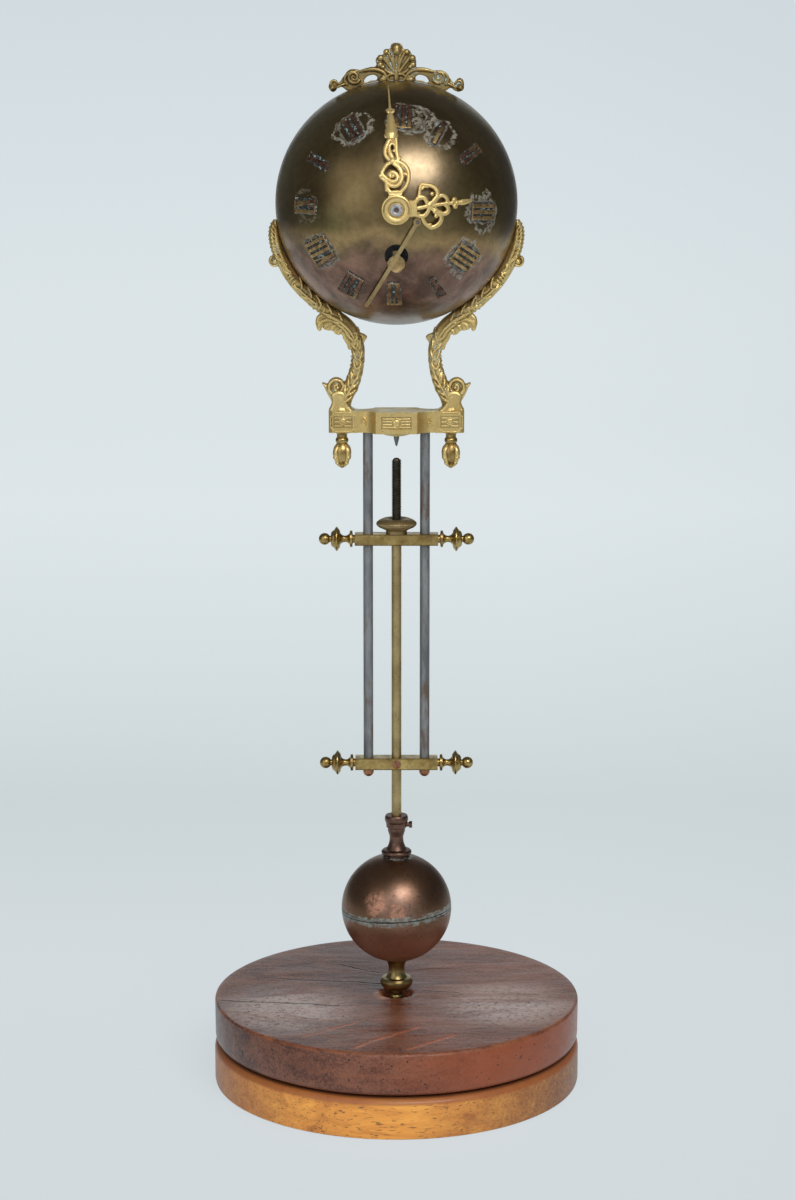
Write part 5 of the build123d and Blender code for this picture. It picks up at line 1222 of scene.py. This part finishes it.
def build_rod():
    """Brass rod with the dark screw thread at its upper end."""
    neck = THREAD_FOOT + 0.4
    shaft = [(0.2, ROD_FOOT), (2.4, ROD_FOOT), (2.4, THREAD_FOOT), (1.9, neck), (0.2, neck)]
    shaft = smooth(lathe("rod_shaft", shaft, 48), 30)
    core = [(0.2, THREAD_FOOT), (1.95, THREAD_FOOT), (1.95, ROD_TOP - 1.5), (1.7, ROD_TOP - 0.8),
            (1.1, ROD_TOP - 0.25), (0.2, ROD_TOP)]
    core = lathe("rod_thread", core, 32)
    deselect()
    bpy.ops.mesh.primitive_circle_add(vertices=4, radius=MM)
    ridge = bpy.context.active_object
    corners = ((1.9, 0.0), (2.35, 0.42 * PITCH), (2.35, 0.56 * PITCH), (1.9, PITCH * 0.98))
    for vertex, (r, h) in zip(ridge.data.vertices, corners):
        vertex.co = Vector((r, 0, h)) * MM
    modify(ridge, "SCREW", angle=2 * math.pi, screw_offset=PITCH * MM, iterations=THREAD_TURNS, steps=18,
           render_steps=18, use_merge_vertices=False)
    ridge.data.transform(Matrix.Translation((0, 0, (THREAD_FOOT + 0.5) * MM)))
    outward(ridge)
    thread = join("rod_thread", [ridge, core])
    smooth(thread, 30)
    finish(shaft, "stand", "rod_brass", "centre_rod")
    finish(thread, "stand", "steel", "centre_rod",
           paint=plain_metal("thread_steel", (0.125, 0.115, 0.085), 0.42, 0.6))


# Relief on the bracket and the drop finials

# Half the bracket's depth at its middle and at its ends, and where the end panels and the curls are
MIDDLE_FACE = 10.1
END_FACE = 5.4
END_X = 25.5
CURL_X = 15.9
PANEL_Z = BRACKET_Z + 5.2


def panel(grounds, parts, x, face, rows, span, boss, drop):
    """Add a panel's sunk ground, a darker plate that paints shade behind the bars, to the grounds, and its
    bars, boss and ring to the parts.
    """
    wide, tall = span + 0.9, rows[-1] + 0.9
    grounds.append(flat([(x - wide, PANEL_Z - tall), (x + wide, PANEL_Z - tall), (x + wide, PANEL_Z + tall),
                         (x - wide, PANEL_Z + tall)], 0.5, face * 0.983, 0.05))
    for rise in rows:
        start = boss + 0.5 if abs(rise - drop) < boss else boss * 0.35
        for side in (-1, 1):
            parts.append(sweep([(x + side * start, PANEL_Z + rise), (x + side * span, PANEL_Z + rise)],
                               [0.8, 0.8], face, 0.75, steps=2))
    parts.append(bead(x, PANEL_Z + drop, boss, face, 0.32, segments=20))
    reach, turns = 1.25 * boss, [a * math.pi / 5 for a in range(10)]
    parts.append(sweep([(x + reach * math.cos(a), PANEL_Z + drop + reach * math.sin(a)) for a in turns],
                       0.5, face * 1.01, 0.9, closed=True, steps=3))


def bracket_relief():
    """Panels with their frames on the bracket's faces, and curls on its hollow sides."""
    low, high = BRACKET_Z + 0.6, BRACKET_TOP - 0.6
    octagon = ((-3.8, low), (3.8, low), (5.9, low + 2.1), (5.9, high - 2.1), (3.8, high), (-3.8, high),
               (-5.9, high - 2.1), (-5.9, low + 2.1))
    grounds, parts = [], []
    for way in (-1, 1):
        panel(grounds, parts, 0, way * MIDDLE_FACE, (-2.0, -0.7, 0.7, 2.0), 6.6, 1.8, 0.0)
        for side in (-1, 1):
            x = side * END_X
            panel(grounds, parts, x, way * END_FACE, (-1.9, 0.0, 1.9), 4.0, 1.4, 0.5)
            for (x0, z0), (x1, z1) in zip(octagon, octagon[1:] + octagon[:1]):
                parts.append(sweep([(x + x0, z0), (x + x1, z1)], [0.9, 0.9], way * (END_FACE + 0.35), 0.7,
                                   steps=1))
            parts.append(spiral(side * CURL_X, PANEL_Z + 0.8, 1.7, 1.2, 90, 0.7, way * 5.0, 1.2, side))
            parts.append(sweep([(side * CURL_X, PANEL_Z + 2.5), (side * 14.3, PANEL_Z + 0.2),
                                (side * 15.2, PANEL_Z - 2.2)], [0.6, 0.9, 0.6], way * 5.2, 1.4))
        parts.append(sweep([(-1.6, BRACKET_Z + 0.3), (0, BRACKET_Z - 0.6), (1.6, BRACKET_Z + 0.3)],
                           [0.8, 1.3, 0.8], way * 9.2, 1.2))
    finish(join("panel_grounds", grounds), "swing_frame", "cast_brass", paint=panel_shade_brass)
    finish(shade_smooth(join("bracket_relief", parts)), "swing_frame", "cast_brass")


def drop_leaves():
    """Four broad leaves with turned tips that cup each drop finial's acorn."""
    parts = []
    top, low = BRACKET_Z - 6.0, BRACKET_Z - 16.4
    for side in (-1, 1):
        for i in range(4):
            leaf = [sweep([(2.0, top), (4.0, top - 2.0), (4.5, top - 4.6), (3.7, top - 7.4), (2.1, low)],
                          [1.2, 1.8, 2.0, 1.7, 0.9], 0, 1.5, steps=6),
                    bead(4.6, top - 6.2, 0.9, 0, 1.5, segments=10),
                    bead(3.3, top - 9.0, 0.8, 0, 1.3, segments=10)]
            for obj in leaf:
                obj.data.transform(Matrix.Translation((side * DROP_X * MM, 0, 0))
                                   @ Matrix.Rotation(math.radians(90 * i + 45), 4, "Z"))
            parts += leaf
    finish(shade_smooth(join("drop_finial_leaves", parts)), "swing_frame", "cast_brass")


# Turned stand

def build_base():
    """The two wooden discs with their rounded edges, the seam between them, dark with a painted shadow, and
    the torn foot hole.
    """
    lower = lathe("turned_lower_disc", [(0.2, 0.0), (89.4, 0.0), (90.2, 0.5), (90.4, 1.4), (90.4, 16.4),
                                        (90.2, 17.6), (89.4, 18.9), (88.0, 19.8), (86.0, 20.2), (84.0, 20.6),
                                        (0.2, 20.6)], 192)
    upper = lathe("turned_upper_disc", [(0.2, 20.65), (84.0, 20.65), (87.0, 20.9), (89.0, 21.9),
                                        (89.8, 23.2), (90.0, 24.8), (90.1, 40.6), (89.8, 41.5),
                                        (89.1, 41.95), (88.2, STAND_TOP), (86.0, STAND_TOP),
                                        (12.0, STAND_TOP), (8.6, STAND_TOP), (7.8, 41.6), (7.5, 37.6),
                                        (0.2, 37.6)], 192)
    wander = random.Random(5)
    for vertex in upper.data.vertices:
        r, z = math.hypot(vertex.co.x, vertex.co.y) / MM, vertex.co.z / MM
        if 7.7 < r < 9.0 and z > 41:
            stretch = wander.uniform(0.99, 1.09)
            vertex.co.x *= stretch
            vertex.co.y *= stretch
    for disc, slot, node in ((lower, "amber_mahogany", "base_lower_disc"),
                             (upper, "dark_mahogany", "base_upper_disc")):
        smooth(disc, 40)
        finish(disc, "stand", slot, node)


build_arms()
build_crown()
build_hands()
build_numerals()
build_nut()
build_rod()
bracket_relief()
drop_leaves()
build_base()


# Studio: pale sweep, soft lights and the camera

CAMERA_PLACE = (0.0005, -1.3492, 0.49715)
CAMERA_TILT = 10.75
CAMERA_LENS = 85


def studio_paint():
    """Pale backdrop that keeps the object's soft shadow."""
    paint = Paint("studio_sweep", roughness=0.9)
    axes = paint.split()
    away = paint.most(paint.sum("SUBTRACT", axes["Y"], CAMERA_PLACE[1]), 0.05)
    slope = paint.sum("DIVIDE", paint.sum("SUBTRACT", axes["Z"], CAMERA_PLACE[2]), away)
    # Painted light and shade on the backdrop: tone bands by the slope seen from the camera, and painted shade
    # towards the right.
    tone = paint.ramp(paint.sum("MULTIPLY_ADD", slope, 2.0, 0.9), (0.04, (0.660, 0.712, 0.742)),
                      (0.25, (0.685, 0.747, 0.778)), (0.372, (0.647, 0.719, 0.728)),
                      (0.438, (0.715, 0.787, 0.803)), (0.588, (0.850, 0.925, 0.948)),
                      (0.728, (0.827, 0.900, 0.929)), (0.946, (0.735, 0.814, 0.853)))
    right = paint.sum("MULTIPLY_ADD", paint.sum("DIVIDE", axes["X"], away), 8.7, -0.39)
    right = paint.sum("MINIMUM", paint.most(right, 0.0), 1.0)
    tone = paint.wash(tone, right, 0.1, (0.45, 0.52, 0.56))
    paint.colour((0.66, 0.70, 0.72))
    # The sweep glows with that painted tone for camera and glossy rays.
    glow = paint.node("ShaderNodeEmission", {"Color": tone})
    rays = paint.node("ShaderNodeLightPath").outputs
    seen = paint.times(paint.most(rays["Is Camera Ray"], rays["Is Glossy Ray"]), 0.8)
    blend = paint.node("ShaderNodeMixShader", {0: seen, 1: paint.shader.outputs[0], 2: glow.outputs[0]})
    paint.put(paint.tree.nodes["Material Output"].inputs["Surface"], blend.outputs[0])
    return paint.material


def studio_sweep():
    """Table top that curves up into the backdrop."""
    deselect()
    bpy.ops.mesh.primitive_plane_add(size=1, location=(0, 0, 0))
    sweep_floor = bpy.context.active_object
    sweep_floor.name = "studio_sweep"
    bpy.ops.object.mode_set(mode="EDIT")
    bpy.ops.transform.resize(value=(2.4, 4.4, 1))
    bpy.ops.transform.translate(value=(0, 0.4, 0))
    bpy.ops.mesh.select_mode(type="EDGE")
    bpy.ops.mesh.select_all(action="DESELECT")
    bpy.ops.object.mode_set(mode="OBJECT")
    for edge in sweep_floor.data.edges:
        ends = [sweep_floor.data.vertices[i].co.y for i in edge.vertices]
        edge.select = min(ends) > 0.5
    bpy.ops.object.mode_set(mode="EDIT")
    for i in range(10):
        angle = math.radians(9 * (i + 0.5))
        bpy.ops.mesh.extrude_region_move()
        bpy.ops.transform.translate(value=(0, 0.12 * math.cos(angle), 0.12 * math.sin(angle)))
    bpy.ops.mesh.extrude_region_move()
    bpy.ops.transform.translate(value=(0, 0, 1.2))
    bpy.ops.object.mode_set(mode="OBJECT")
    bpy.ops.object.shade_smooth()
    sweep_floor.data.materials.append(studio_paint())


def soft_light(name, place, aim, size, power, shown=True):
    """Rectangular soft light; one that isn't shown lights without its image in the metal."""
    data = bpy.data.lights.new(name, "AREA")
    data.shape = "RECTANGLE"
    data.size, data.size_y = size
    data.energy = power
    lamp = bpy.data.objects.new(name, data)
    bpy.context.scene.collection.objects.link(lamp)
    lamp.location = place
    lamp.rotation_euler = (Vector(aim) - Vector(place)).to_track_quat("-Z", "Y").to_euler()
    lamp.visible_glossy = shown


def room():
    """Dim room round the table: brighter straight in front, dark to the sides."""
    world = bpy.data.worlds.new("dim_room")
    bpy.context.scene.world = world
    world.use_nodes = True
    tree = world.node_tree
    place = tree.nodes.new("ShaderNodeTexCoord")
    split = tree.nodes.new("ShaderNodeSeparateXYZ")
    front = tree.nodes.new("ShaderNodeMapRange")
    front.interpolation_type = "SMOOTHSTEP"
    front.inputs["From Min"].default_value = -0.1
    front.inputs["From Max"].default_value = -1.0
    front.inputs["To Min"].default_value = 0.13
    front.inputs["To Max"].default_value = 0.34
    air = tree.nodes["Background"]
    air.inputs["Color"].default_value = (0.92, 0.96, 1.0, 1)
    tree.links.new(place.outputs["Generated"], split.inputs[0])
    tree.links.new(split.outputs["Y"], front.inputs["Value"])
    tree.links.new(front.outputs["Result"], air.inputs["Strength"])


def studio():
    studio_sweep()
    soft_light("key_softbox", (0.45, -1.30, 1.45), (0, 0, 0.40), (1.15, 0.65), 15)
    soft_light("left_softbox", (-1.3, -1.5, 0.95), (0, 0, 0.35), (1.6, 1.6), 7)
    soft_light("top_softbox", (0.2, 0.1, 1.9), (0, 0, 0.2), (1.2, 1.0), 10, shown=False)
    soft_light("front_fill", (0.3, -2.2, 1.3), (0, 0, 0.2), (2.0, 1.4), 25, shown=False)
    room()
    camera = bpy.data.cameras.new("camera")
    camera.lens = CAMERA_LENS
    camera.sensor_width = 36
    shot = bpy.data.objects.new("camera", camera)
    bpy.context.scene.collection.objects.link(shot)
    shot.location = CAMERA_PLACE
    shot.rotation_euler = (math.radians(90 - CAMERA_TILT), 0, 0)
    bpy.context.scene.camera = shot
    bpy.context.scene.view_settings.view_transform = "Standard"


studio()
